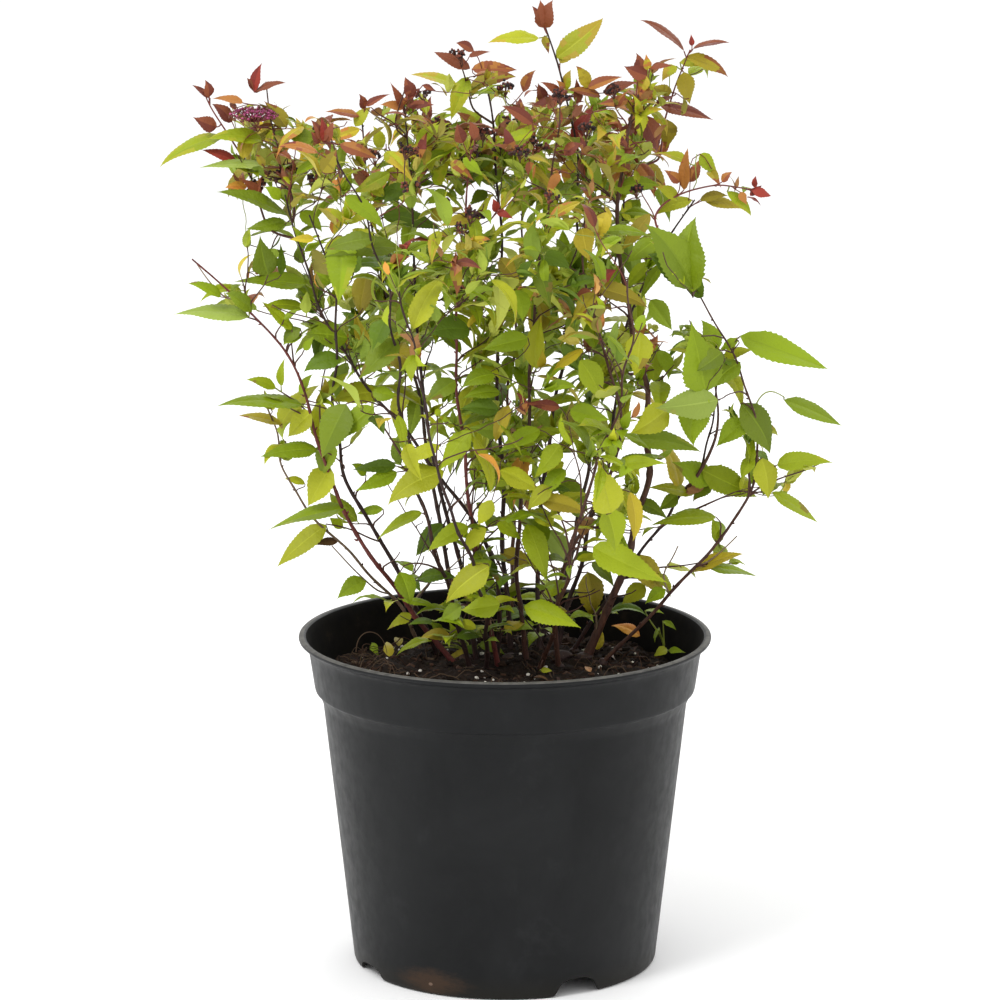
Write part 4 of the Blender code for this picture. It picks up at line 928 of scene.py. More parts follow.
# ------------------------------------------------------------------ set twigs and set leaves
SET_TWIGS = [  # pixels of the run, depth, foot radius, kind
    ([(652, 218), (664, 202), (687, 191), (718, 184), (754, 190)], 0.016, 0.0008, "red"),
    ([(660, 160), (664, 122), (676, 84), (690, 50)], 0.045, 0.0009, "red"),
    ([(636, 160), (642, 118), (648, 77)], 0.020, 0.0009, "red"),
    ([(268, 232), (254, 186), (238, 141)], -0.016, 0.0009, "brown"),
    ([(296, 214), (282, 160), (270, 120), (266, 82)], -0.012, 0.0010, "brown"),
    ([(238, 150), (224, 128), (208, 104), (204, 92)], -0.020, 0.0006, "red"),
    ([(232, 304), (218, 292), (206, 278), (195, 261)], -0.045, 0.0006, "grey"),
    ([(322, 440), (319, 410), (322, 380), (330, 352)], -0.030, 0.0006, "brown"), ([(757, 401), (763, 392), (772, 389), (784, 397)], 0.010, 0.0006, "green"),
    ([(664, 524), (692, 511), (714, 501), (735, 492)], 0.000, 0.0012, "brown"),
    ([(704, 566), (721, 552), (737, 536)], 0.004, 0.0005, "grey"), ([(660, 574), (672, 561), (678, 546)], 0.000, 0.0005, "grey"),
    ([(378, 592), (354, 570), (332, 546)], 0.000, 0.0005, "grey"), ([(405, 462), (394, 443), (383, 426), (373, 411)], -0.040, 0.0009, "brown"),
    ([(342, 420), (325, 406), (302, 404)], -0.030, 0.0006, "brown"),
    ([(312, 416), (302, 405), (288, 396), (275, 388)], -0.030, 0.0006, "brown"),
    ([(350, 470), (330, 452), (317, 449)], -0.030, 0.0006, "brown"),
    ([(372, 540), (350, 528), (326, 524)], -0.010, 0.0006, "brown"),
    ([(560, 290), (572, 262), (584, 232)], -0.060, 0.0007, "brown"),
    ([(340, 180), (336, 150), (328, 132)], -0.050, 0.0008, "brown"),
    ([(472, 110), (466, 80), (460, 62)], -0.010, 0.0008, "brown"),
    ([(690, 487), (706, 462), (717, 436), (719, 410), (714, 380), (716, 356)], 0.008, 0.0013, "brown"),
    ([(392, 130), (398, 110), (404, 92)], -0.040, 0.0007, "brown"),
]


def nearest_limb(px, want=None, reach=0.11, spread=1.0):
    """The limb and place on it that best carries something whose base is seen at a pixel."""
    best = None
    for limb in LIMBS:
        if limb.order > 2 or limb.length < 0.01:
            continue
        dep = limb.P[:, 1]
        base = np.stack([spot(px[0], px[1], y if want is None else want) for y in dep[::3]])
        gap = base - limb.P[::3]
        d = np.linalg.norm(gap, axis=1)
        c = (gap * limb.T[::3]).sum(1) / np.maximum(d, 1e-6)
        cost = d * (1.75 - 0.75 * c) + 0.006 * limb.order + np.where(limb.s[::3] < 0.012, 0.05, 0)
        cost = cost + np.where(d > reach, 1.0, 0.0)
        k = int(cost.argmin())
        if best is None or cost[k] < best[0]:
            best = (cost[k], limb, limb.s[::3][k], base[k], d[k])
    return best


def petiole(p0, p1, tone, r=0.00042):
    mid = (np.asarray(p0) + p1) / 2 + np.array([0, 0, -0.0004])
    V, Q, T = tube_shell([p0, mid, p1], [r * 1.15, r, r * 0.9], 4, close=False)
    kind = "green" if tone in ("deep", "moss", "mid", "fresh", "lime", "pale", "yellow") else "red"
    TWIGS["twig"].add(V, Q, None, TWIG_SLOT[kind])


def facing(e1, cos_view, flip=False):
    """Normal of a leaf along e1 turned so that the camera sees this share of its width."""
    v = -FORWARD - e1 * (-FORWARD @ e1)
    v = unit(v)
    w = unit(np.cross(e1, v))
    s = math.sqrt(max(0.0, 1 - cos_view ** 2))
    a, b = cos_view * v + s * w, cos_view * v - s * w
    return a if a[2] > b[2] else b


ROOM = 0.012
BOX_LO = np.array(CAD_BOX[0]) - ROOM
BOX_HI = np.array(CAD_BOX[1]) + ROOM

set_rng = np.random.default_rng(88)
for run, depth, r0, kind in SET_TWIGS:
    first = nearest_limb(run[0], reach=0.035)
    _, limb, s, base, d = first
    p, t, r = limb.at(s)
    pts = [p] + [spot(x, y, p[1] + (depth - p[1]) * min(1.0, 0.35 + 0.65 * i / (len(run) - 1))) for i, (x, y) in enumerate(run)]
    pts = np.array([q for k, q in enumerate(pts) if k == 0 or np.linalg.norm(q - pts[k - 1]) > 0.003])
    seg = np.concatenate([[0], np.cumsum(np.linalg.norm(np.diff(pts, axis=0), axis=1))])
    n = max(8, int(seg[-1] / 0.004))
    u = np.linspace(0, seg[-1], n)
    P = np.stack([np.interp(u, seg, pts[:, k]) for k in range(3)], -1)
    for _ in range(3):
        P[1:-1] = (P[:-2] + 2 * P[1:-1] + P[2:]) / 4
    LIMBS.append(Limb(P, np.linspace(max(r0, 0.0006), 0.0004, n), 1, kind))

SET_DONE, TUFT_TWIGS = [], []
FRONT = {(489, 566): -0.075, (500, 604): -0.060, (593, 547): -0.085, (606, 508): -0.105, (611, 513): -0.122}    # these hang before the front stems
for bx, by, tx, ty, w, tone, nearer in SET_LEAVES:
    if by > 606 and not 500 < bx < 600:
        continue
    want = None
    if nearer > 0.009:
        want = FRONT.get((bx, by), -0.075 if by < 520 else -0.045)
    _, limb, s, base, d = nearest_limb((bx, by), want)
    if d > 0.0065:
        out = unit(np.array([tx - bx, 0, by - ty]) / 100.0 + np.array([0, 0, 0.10]))
        twig = grow(limb, s, base, limb.order + 1, "brown" if by > 200 else "red", set_rng,
                    end_dir=unit(out * 0.7 + unit(base - limb.at(s)[0]) * 0.6))
        foot = base
    else:
        foot = limb.at(s)[0]
        if np.linalg.norm(base - foot) > 0.0008:
            petiole(foot, base, tone)
    lx = math.hypot(tx - bx, ty - by)
    flat = spot(tx, ty, base[1]) - base
    lean = set_rng.uniform(-0.30, 0.22) * np.linalg.norm(flat)
    tip = spot(tx, ty, base[1] + lean)
    along = tip - base
    length = float(np.linalg.norm(along))
    ratio = (w + 1.8) / max(lx, 1)
    true = float(np.clip(ratio, 0.34, 0.60))
    cosv = float(np.clip(ratio / true, 0.22, 0.90))
    n3 = facing(unit(along), cosv)
    V = add_leaf(base, along, n3, length, tone, set_rng, width=true, form=(7, 19) if ratio < 0.40 else (0, 10) if lx > 34 else (2, 16), arch=0.45 if ratio < 0.40 else 0.75,
                 edge=set_rng.uniform(0.35, 0.75) if by < 200 and tone in ("olive", "lime", "yellow", "fresh") else None)
    cover(V)
    SET_DONE.append((base, tip))
print("set leaves", LEAF_COUNT["n"], "limbs", len(LIMBS))


# ------------------------------------------------------------------ tufts of young leaves at the shoot tips
# tip pixel, depth, tone, leaves, longest leaf in pixels
TUFTS = [
    (233, 102, -0.018, "bronze", 5, 18),
    (252, 120, -0.020, "redbrown", 7, 22), (278, 112, -0.016, "olive", 6, 26), (300, 132, -0.030, "olive", 7, 26), (322, 128, -0.040, "redbrown", 8, 22),
    (376, 104, -0.035, "bronze", 7, 22), 
    (450, 84, -0.020, "olive", 6, 22), (642, 92, 0.012, "bronze", 7, 20), (616, 98, 0.000, "bronze", 7, 20), (552, 100, -0.010, "redbrown", 7, 20), 
    (486, 74, -0.010, "bronze", 7, 26), (470, 86, -0.030, "yellow", 6, 26), (500, 88, -0.020, "olive", 7, 26), 
    (536, 104, -0.020, "bronze", 7, 26), (574, 112, -0.020, "redbrown", 8, 26), (590, 104, -0.010, "bronze", 7, 24),
    (604, 120, -0.020, "olive", 7, 26), (560, 136, -0.040, "lime", 7, 28), (590, 146, -0.040, "bronze", 8, 26), (574, 166, -0.050, "redbrown", 7, 26),
    (612, 162, -0.030, "olive", 7, 26), (590, 190, -0.050, "bronze", 8, 28), (560, 196, -0.060, "lime", 7, 26), (628, 140, -0.010, "redbrown", 7, 24),
    (640, 108, 0.010, "olive", 7, 24), (650, 92, 0.025, "bronze", 6, 22), (664, 96, 0.030, "olive", 6, 24),
    (688, 106, 0.040, "bronze", 5, 20), (660, 130, 0.020, "redbrown", 6, 22), (636, 176, -0.010, "lime", 7, 26), (610, 214, -0.050, "yellow", 6, 28),
    (712, 164, 0.025, "olive", 6, 24), (736, 184, 0.018, "bronze", 5, 20), (754, 190, 0.016, "crimson", 5, 18),
    (440, 130, -0.050, "olive", 7, 26), (420, 150, -0.060, "bronze", 7, 24), (386, 140, -0.050, "bronze", 7, 24), (360, 160, -0.060, "olive", 7, 26),
    (330, 172, -0.060, "lime", 7, 28), (292, 172, -0.040, "olive", 6, 26), (262, 160, -0.030, "bronze", 6, 22), (240, 178, -0.020, "redbrown", 6, 22),
    (460, 134, -0.050, "olive", 6, 24), (510, 142, -0.060, "bronze", 7, 22), (520, 104, -0.030, "redbrown", 7, 20), (404, 100, -0.035, "bronze", 6, 20), (530, 146, -0.060, "olive", 7, 26), (460, 170, -0.080, "lime", 7, 28),
    (520, 184, -0.080, "olive", 7, 26), (404, 190, -0.080, "lime", 7, 28), (484, 200, -0.090, "mid", 7, 28), (350, 214, -0.080, "lime", 7, 28),
    (602, 280, -0.110, "bronze", 7, 26), (540, 236, -0.100, "fresh", 7, 28), (270, 250, -0.030, "moss", 6, 26),
    (304, 240, -0.050, "mid", 6, 26), (640, 230, 0.0, "lime", 6, 26), (524, 404, -0.110, "bronze", 6, 24), 
]
tuft_rng = np.random.default_rng(2718)


def rosette(p, t, n, size, tone, rng, opening=(12, 70)):
    """Young leaves packed round a shoot tip, the lower ones opening out and down."""
    a = unit(np.cross(t, [0.31, 0.17, 0.93]))
    b = np.cross(t, a)
    turn = rng.uniform(0, 6.28)
    for i in range(n):
        turn += 2.4 + rng.normal(0, 0.2)
        k = (i + 0.5) / n
        radial = math.cos(turn) * a + math.sin(turn) * b
        spread = math.radians(opening[0] + (opening[1] - opening[0]) * k + rng.normal(0, 6))
        e1 = unit(math.cos(spread) * t + math.sin(spread) * radial + np.array([0, 0, 0.10 - 0.35 * k]))
        n3 = unit(math.sin(spread) * t - math.cos(spread) * radial + np.array([0, 0, 0.3]) + rng.normal(0, 0.15, 3))
        L = size * (0.42 + 0.58 * k ** 0.8) * rng.uniform(0.85, 1.12)
        q = p - t * 0.006 * k
        if (q + e1 * L < BOX_LO).any() or (q + e1 * L > BOX_HI).any():
            continue
        if hides_set(np.stack([q + e1 * L * h for h in (0.3, 0.65, 1.0)])) > 0.3 and rng.random() < 0.8:
            continue
        tt = tone
        if rng.random() < 0.35:
            tt = {"redbrown": "bronze", "bronze": "olive", "crimson": "redbrown", "olive": "lime", "lime": "fresh", "yellow": "lime", "fresh": "mid", "mid": "fresh", "moss": "mid"}.get(tone, tone)
        V = add_leaf(q, e1, n3, L, tt, rng, width=rng.uniform(0.30, 0.42), edge=rng.uniform(0.2, 0.8))
        if i % 2 == 0:
            cover(V)


for tx, ty, depth, tone, n, longest in TUFTS:
    _, limb, s, base, d = nearest_limb((tx, ty + 4), depth)
    if d > 0.004:
        twig = grow(limb, s, base, limb.order + 1, "red" if ty < 200 else "brown", tuft_rng, end_dir=unit([tuft_rng.normal(0, 0.25), tuft_rng.normal(0, 0.2), 1.0]))
        t = twig.T[-1]
        below = True
    else:
        t, below = unit(limb.T[-1]), False
    rosette(base, t, n, longest * 0.00076, tone, tuft_rng)
    if below:
        TUFT_TWIGS.append((twig, tone))
print("tufts", LEAF_COUNT["n"])


# ------------------------------------------------------------------ growth inside the masses
def tone_for(z, rng, spray):
    """Colour family of a leaf by the height it grows at and the turn of its spray."""
    if z > 0.520:
        table = [("bronze", 0.17), ("redbrown", 0.10), ("crimson", 0.04), ("olive", 0.15), ("lime", 0.25), ("fresh", 0.10), ("mid", 0.12), ("yellow", 0.07)]
    elif z > 0.470:
        table = [("bronze", 0.09), ("redbrown", 0.04), ("crimson", 0.02), ("olive", 0.11), ("lime", 0.26), ("fresh", 0.18), ("mid", 0.20), ("moss", 0.04), ("yellow", 0.06)]
    elif z > 0.36:
        table = [("bronze", 0.02), ("olive", 0.05), ("lime", 0.27), ("fresh", 0.26), ("mid", 0.22), ("moss", 0.10), ("deep", 0.06), ("yellow", 0.02), ("orange", 0.01)]
    else:
        table = [("lime", 0.40), ("fresh", 0.29), ("mid", 0.16), ("moss", 0.05), ("deep", 0.03), ("yellow", 0.04), ("orange", 0.01), ("tan", 0.02)]
    names = [t[0] for t in table]
    w = np.array([t[1] for t in table])
    if spray in names:
        w = w * 0.45
        w[names.index(spray)] += 0.55
    return str(rng.choice(names, p=w / w.sum()))


def fits(points, rng, ease=1.0):
    if (points < BOX_LO).any() or (points > BOX_HI).any():
        return False
    p = seen(points)
    for q in p:
        if not inside_outline(q):
            return False
        if in_window(q, ease) and rng.random() < 0.97:
            return False
    return True


def leafy(limb, rng, spray, start=0.28, cluster=True, big=1.0, gap=None, front=True):
    """Leaves in turn up a twig, smaller towards its tip, with a tuft of young ones at the end."""
    L = limb.length
    s = max(0.008, start * L)
    turn = rng.uniform(0, 6.28)
    z_top = limb.P[-1][2]
    while s < L - 0.002:
        p, t, r = limb.at(s)
        z = p[2]
        if z < 0.36:
            size = rng.uniform(0.021, 0.042)
        elif z < 0.45:
            size = rng.uniform(0.019, 0.039)
        elif z < 0.51:
            size = rng.uniform(0.018, 0.037)
        else:
            size = rng.uniform(0.017, 0.034)
        size *= big * (1.0 - 0.38 * (s / L) ** 2) * (0.72 if spray in ("bronze", "redbrown", "crimson", "orange", "tan") and z < 0.50 else 1.0)
        a = unit(np.cross(t, [0.31, 0.17, 0.93]))
        b = np.cross(t, a)
        radial = math.cos(turn) * a + math.sin(turn) * b
        beta = math.radians(rng.uniform(48, 84))
        e1 = unit(math.cos(beta) * t + math.sin(beta) * radial + np.array([0, 0, -0.16 - (0.10 + 0.16 * size / 0.03) * rng.uniform(0.0, 1.3)]))
        e1 = unit(e1 * np.array([1.0, 0.86, 1.0]))
        n3 = unit(0.35 * math.sin(beta) * t - math.cos(beta) * radial * 0.35 + np.array([0, 0, 1.0]) + rng.normal(0, 0.24, 3))
        stalk = rng.uniform(0.0012, 0.0034)
        q = p + e1 * (stalk + r)
        tip = q + e1 * size
        turn += 2.4 + rng.normal(0, 0.25)
        s += (gap or rng.uniform(0.0054, 0.0098)) * (0.75 + 0.5 * (1 - s / L))
        test = np.stack([q, (q + tip) / 2, tip])
        if tip[2] < 0.214 and math.hypot(tip[0], tip[1]) > 0.10:
            continue
        if not fits(test, rng):
            continue
        line = np.stack([q + e1 * size * k for k in (0.0, 0.2, 0.4, 0.6, 0.8, 1.0)])
        if hides_set(line[1:]) > 0.25 and rng.random() < 0.9:
            continue
        if hides_stem(line) and rng.random() < 0.92:
            continue
        tone = tone_for(z, rng, spray)
        petiole(p, q, tone)
        add_leaf(q, e1, n3, size, tone, rng, width=rng.uniform(0.27, 0.40),
                 edge=rng.uniform(0.25, 0.85) if z > 0.46 and tone in ("olive", "lime", "yellow", "fresh") else None)
    if cluster:
        p, t, r = limb.at(L)
        if not fits(p[None], rng):
            return
        k = int(rng.integers(3, 6)) + (1 if z_top > 0.47 else 0)
        for i in range(k):
            turn += 2.4
            a = unit(np.cross(t, [0.31, 0.17, 0.93]))
            b = np.cross(t, a)
            radial = math.cos(turn) * a + math.sin(turn) * b
            spread = math.radians(rng.uniform(14, 62))
            e1 = unit(math.cos(spread) * t + math.sin(spread) * radial + np.array([0, 0, 0.15]))
            n3 = unit(math.sin(spread) * t - math.cos(spread) * radial + np.array([0, 0, 0.2]) + rng.normal(0, 0.2, 3))
            size = rng.uniform(0.009, 0.021)
            if not fits((p + e1 * size)[None], rng):
                continue
            line = np.stack([p + e1 * size * h for h in (0.2, 0.6, 1.0)])
            if hides_set(line) > 0.3 or hides_stem(line):
                continue
            young = {"bronze": "redbrown", "redbrown": "redbrown", "crimson": "crimson", "olive": "bronze"}.get(spray, spray)
            tone = young if rng.random() < 0.7 else tone_for(p[2], rng, spray)
            add_leaf(p - t * rng.uniform(0, 0.003), e1, n3, size, tone, rng, width=rng.uniform(0.32, 0.44))


HEADS = []
grow_rng = np.random.default_rng(4107)


def open_share(p, target):
    """Share of the straight way between two points that crosses open sky in the photograph."""
    q = seen(np.array([p + (target - p) * k for k in (0.15, 0.35, 0.55, 0.75)]))
    return sum(1.0 for v in q if in_window(v, 0.9) or not inside_outline(v)) / 4


def crosses_sky(twig):
    """True if much of a twig would be seen against open sky that the photograph shows."""
    q = seen(twig.P[::2])
    return sum(1.0 for v in q if in_window(v, 0.85) or not inside_outline(v)) > 0.30 * len(q)


def parent_for(target, rng, top_order=1, reach=(0.018, 0.095)):
    best = None
    for limb in LIMBS:
        if limb.order > top_order or limb.length < 0.03 or (limb.kind == "grey" and limb.order):
            continue
        gap = target - limb.P[::3]
        d = np.linalg.norm(gap, axis=1)
        c = (gap * limb.T[::3]).sum(1) / np.maximum(d, 1e-6)
        cost = d * (1.9 - 0.9 * c) * rng.uniform(0.85, 1.2) + 0.004 * limb.order
        cost = cost + np.where((d < reach[0]) | (d > reach[1]), 0.4, 0) + np.where(gap[:, 2] < -0.004, 0.05, 0)
        cost = cost + np.where(limb.s[::3] < 0.02, 0.1, 0)
        k = int(cost.argmin())
        if best is not None and cost[k] >= best[0]:
            continue
        total = float(cost[k]) + 0.07 * open_share(limb.P[::3][k], target)
        if best is None or total < best[0]:
            best = (total, limb, float(limb.s[::3][k]))
    return best


for twig, tone in TUFT_TWIGS:
    if twig.length > 0.014:
        leafy(twig, grow_rng, {"redbrown": "bronze", "crimson": "olive", "bronze": "olive"}.get(tone, tone), start=0.35, cluster=False, big=0.9)

PER_LITRE = 52.5
for index, (mass, spec) in enumerate(MASSES.items()):
    x, y, z, a, b, c, sprays = spec
    litres = 4.18879 * a * b * c * 1000
    count = max(3, int(round(litres * PER_LITRE * (1.22 if z > 0.52 else 1.02 if z > 0.49 else 1.02 if z > 0.45 else 0.88 if z > 0.41 else 1.10 if z > 0.36 else 1.12))))
    for i in range(count):
        for attempt in range(14):
            d = unit(grow_rng.normal(size=3))
            rad = grow_rng.uniform(0.25, 1.0) ** 0.5
            target = np.array([x, y, z]) + d * rad * np.array([a, b, c])
            px = seen(target[None])[0]
            if inside_outline(px) and not in_window(px, 0.9):
                break
        else:
            continue
        found = parent_for(target, grow_rng)
        if found is None or found[0] > 0.3:
            continue
        spray = tone_for(target[2], grow_rng, None)
        kind = ("red" if spray in ("bronze", "redbrown", "crimson") else "green") if target[2] > 0.47 and grow_rng.random() < 0.7 else "brown"
        twig = grow(found[1], found[2], target, found[1].order + 1, kind, grow_rng)
        if crosses_sky(twig):
            LIMBS.pop()
            continue
        before = LEAF_COUNT["n"]
        leafy(twig, grow_rng, spray, start=grow_rng.uniform(0.2, 0.4))
        if LEAF_COUNT["n"] == before:
            LIMBS.pop()
            continue
        if target[2] > 0.47 and grow_rng.random() < 0.045 or (target[2] > 0.38 and grow_rng.random() < 0.010):
            ahead = seen(np.array([twig.P[-1] + np.array([dx, 0, 0.012]) for dx in (-0.006, 0.0, 0.006)]))
            if target[0] < 0.12 and all(inside_outline(v) and not in_window(v, 1.1) for v in ahead):
                HEADS.append(twig)
    print(mass, count, "leaves", LEAF_COUNT["n"])

# short leafy shoots straight off the main stems, from above the bare feet upwards
for limb in MAIN:
    s = limb.length * 0.30
    turn = grow_rng.uniform(0, 6.28)
    while s < limb.length * 0.97:
        p, t, r = limb.at(s)
        turn += 2.4 + grow_rng.normal(0, 0.3)
        s += grow_rng.uniform(0.011, 0.020)
        a_, b_ = unit(np.cross(t, [0.3, 0.2, 0.9])), None
        b_ = np.cross(t, a_)
        radial = math.cos(turn) * a_ + math.sin(turn) * b_
        reach = grow_rng.uniform(0.008, 0.024)
        target = p + unit(radial * 0.9 + t * 0.7) * reach
        if p[2] < 0.30 and grow_rng.random() < 0.55:
            continue
        if not fits(target[None], grow_rng):
            continue
        spray = tone_for(p[2], grow_rng, None)
        if grow_rng.random() < 0.5:
            twig = grow(limb, s - 0.01, target, 2, "brown", grow_rng, r0=0.0006)
            before = LEAF_COUNT["n"]
            leafy(twig, grow_rng, spray, start=0.3, cluster=True, big=0.8, gap=0.005)
            if LEAF_COUNT["n"] == before:
                LIMBS.pop()
        else:
            size = grow_rng.uniform(0.020, 0.042) * (0.75 if p[2] > 0.48 else 1.0) * (0.70 if spray in ("bronze", "redbrown", "crimson", "orange", "tan") else 1.0)
            e1 = unit(radial + 0.5 * t + np.array([0, 0, -0.2]))
            n3 = unit(t - 0.5 * radial + np.array([0, 0, 0.6]) + grow_rng.normal(0, 0.2, 3))
            q = p + e1 * 0.003
            line = np.stack([q, q + e1 * size * 0.5, q + e1 * size])
            if fits(line, grow_rng) and hides_set(line) < 0.3 and not hides_stem(line[1:]):
                petiole(p, q, spray)
                add_leaf(q, e1, n3, size, spray, grow_rng, width=grow_rng.uniform(0.36, 0.46))
print("leaves in all", LEAF_COUNT["n"], {g: p.tris() for g, p in LEAVES.items()})

# low leafy shoots between the stems, and dry wiry ones without leaves
foot_rng = np.random.default_rng(606)
LOW = [  # end pixel, depth, leaves, longest in metres, family
    (452, 588, -0.030, 4, 0.030, "lime"), (486, 600, -0.040, 4, 0.028, "fresh"), (432, 620, -0.035, 3, 0.024, "mid"),
    (470, 560, -0.045, 4, 0.030, "mid"), (512, 572, -0.040, 4, 0.032, "deep"), (540, 590, -0.038, 4, 0.034, "fresh"),
    (520, 540, -0.050, 4, 0.034, "mid"), (500, 520, -0.055, 4, 0.030, "lime"), (548, 546, -0.045, 4, 0.036, "mid"),
    (572, 560, -0.030, 4, 0.032, "moss"), (600, 590, -0.010, 3, 0.030, "mid"), (584, 604, 0.000, 3, 0.030, "olive"),
    (412, 580, -0.020, 3, 0.026, "deep"),
    (392, 600, -0.010, 3, 0.024, "mid"), (440, 540, -0.040, 4, 0.030, "lime"), (424, 556, 0.020, 3, 0.028, "moss"),
    (500, 590, 0.040, 4, 0.030, "mid"), (530, 612, 0.050, 4, 0.028, "deep"), (560, 596, 0.060, 4, 0.030, "fresh"),
    (470, 604, 0.046, 4, 0.028, "mid"), (448, 636, -0.020, 3, 0.020, "fresh"), (500, 628, -0.012, 3, 0.020, "lime"),
    (540, 632, 0.020, 3, 0.022, "mid"), (610, 612, 0.040, 3, 0.026, "mid"), (480, 630, -0.030, 3, 0.022, "moss"),
    (466, 520, -0.060, 4, 0.028, "fresh"), (540, 500, -0.060, 4, 0.034, "lime"), (588, 520, -0.050, 4, 0.034, "mid"),
    (490, 545, -0.030, 4, 0.024, "lime"), (506, 560, -0.020, 4, 0.024, "mid"), (516, 532, -0.030, 4, 0.022, "fresh"), (480, 562, -0.020, 4, 0.022, "moss"),
    (496, 530, -0.045, 4, 0.022, "olive"), (470, 540, -0.030, 4, 0.024, "mid"), (528, 562, -0.010, 3, 0.024, "deep"), (546, 470, -0.060, 4, 0.028, "lime"),
    (540, 452, -0.050, 4, 0.026, "mid"), (536, 492, -0.040, 4, 0.026, "fresh"),
    (610, 520, -0.040, 3, 0.034, "fresh"), (636, 590, -0.004, 3, 0.028, "olive"), (400, 552, -0.030, 3, 0.026, "lime"),
]
for px, py, y, n, longest, fam in LOW:
    goal = spot(px, py, y)
    found = parent_for(goal, foot_rng, top_order=0, reach=(0.010, 0.080))
    if found is None or found[0] > 0.3:
        continue
    twig = grow(found[1], found[2], goal, 1, "brown", foot_rng, r0=0.0007)
    turn = foot_rng.uniform(0, 6.28)
    for i in range(n + 2):
        p, t, r = twig.at(twig.length * (0.45 + 0.55 * i / (n + 1)))
        turn += 2.4 + foot_rng.normal(0, 0.3)
        radial = np.array([math.cos(turn), 0.7 * math.sin(turn), 0.0])
        size = longest * foot_rng.uniform(0.55, 1.0)
        e1 = unit(radial + 0.3 * t + np.array([0, 0, -0.12]))
        n3 = unit(np.array([0, -0.25, 1.0]) + foot_rng.normal(0, 0.25, 3))
        q = p + e1 * 0.003
        line = np.stack([q + e1 * size * k for k in (0.2, 0.5, 0.8, 1.0)])
        if hides_stem(line[1:]) and foot_rng.random() < 0.8 or hides_set(line) > 0.3:
            continue
        if any(in_window(v, 0.9) for v in seen(line[1:])) and foot_rng.random() < 0.85:
            continue
        if line[:, 2].min() < 0.200 or (line[-1, 2] < 0.214 and math.hypot(line[-1, 0], line[-1, 1]) > 0.10):
            continue
        tone = fam if foot_rng.random() < 0.6 else str(foot_rng.choice(["mid", "fresh", "lime", "deep", "olive", "tan"], p=[0.3, 0.22, 0.18, 0.14, 0.1, 0.06]))
        petiole(p, q, tone)
        add_leaf(q, e1, n3, size, tone, foot_rng, width=foot_rng.uniform(0.36, 0.48))
for _ in range(58):
    host = MAIN[int(foot_rng.integers(len(MAIN)))]
    s0 = foot_rng.uniform(0.012, 0.11)
    p, t, r = host.at(s0)
    a = foot_rng.uniform(0, 6.28)
    reach = foot_rng.uniform(0.020, 0.085)
    goal = p + np.array([math.cos(a) * 0.62, math.sin(a) * 0.5, foot_rng.uniform(0.15, 1.0)]) * reach
    if math.hypot(goal[0], goal[1]) > 0.088 or goal[2] > 0.335:
        continue
    dry = grow(host, s0, goal, 3, str(foot_rng.choice(["dark", "dark", "brown", "grey"])), foot_rng, r0=foot_rng.uniform(0.0004, 0.0008), r1=0.00028)
    if foot_rng.random() < 0.6 and dry.length > 0.03:
        q, d, r = dry.at(dry.length * foot_rng.uniform(0.4, 0.7))
        grow(dry, dry.length * 0.5, q + unit(d + foot_rng.normal(0, 0.8, 3)) * foot_rng.uniform(0.010, 0.026), 3, dry.kind, foot_rng, r0=0.0004, r1=0.00025)
print("foot of the crown", LEAF_COUNT["n"])

# ------------------------------------------------------------------ twigs as one mesh
for limb in LIMBS[len(MAIN):]:
    sides = 7 if limb.R[0] > 0.0008 else 6 if limb.R[0] > 0.0005 else 5
    n = len(limb.P)
    V, Q, T = tube_shell(limb.P, limb.R, sides)
    TWIGS["twig"].add(V, Q, T, TWIG_SLOT[limb.kind], TWIG_SLOT[limb.kind])

# buds and leaf scars up the stems and the thicker twigs
bud_rng = np.random.default_rng(991)
for limb in LIMBS:
    if limb.order > 1 or limb.R[0] < 0.0007:
        continue
    s, turn = 0.02, bud_rng.uniform(0, 6.28)
    while s < limb.length - 0.004:
        p, t, r = limb.at(s)
        a = unit(np.cross(t, [0.3, 0.2, 0.9]))
        b = np.cross(t, a)
        radial = math.cos(turn) * a + math.sin(turn) * b
        size = min(0.0013, 0.5 * r + 0.0004)
        axis = unit(radial * 0.8 + t)
        foot = p + radial * r * 0.85
        P = np.stack([foot, foot + axis * size * 0.9, foot + axis * size * 2.0])
        V, Q, T = tube_shell(P, [size * 0.55, size * 0.6, size * 0.12], 5)
        TWIGS["twig"].add(V, Q, T, TWIG_SLOT["red" if limb.kind == "red" else "brown"], TWIG_SLOT["brown"])
        turn += 2.4
        s += bud_rng.uniform(0.012, 0.024)


# ------------------------------------------------------------------ dry seed heads and the one late flower cluster
SEEDS = Pile()
head_rng = np.random.default_rng(515)


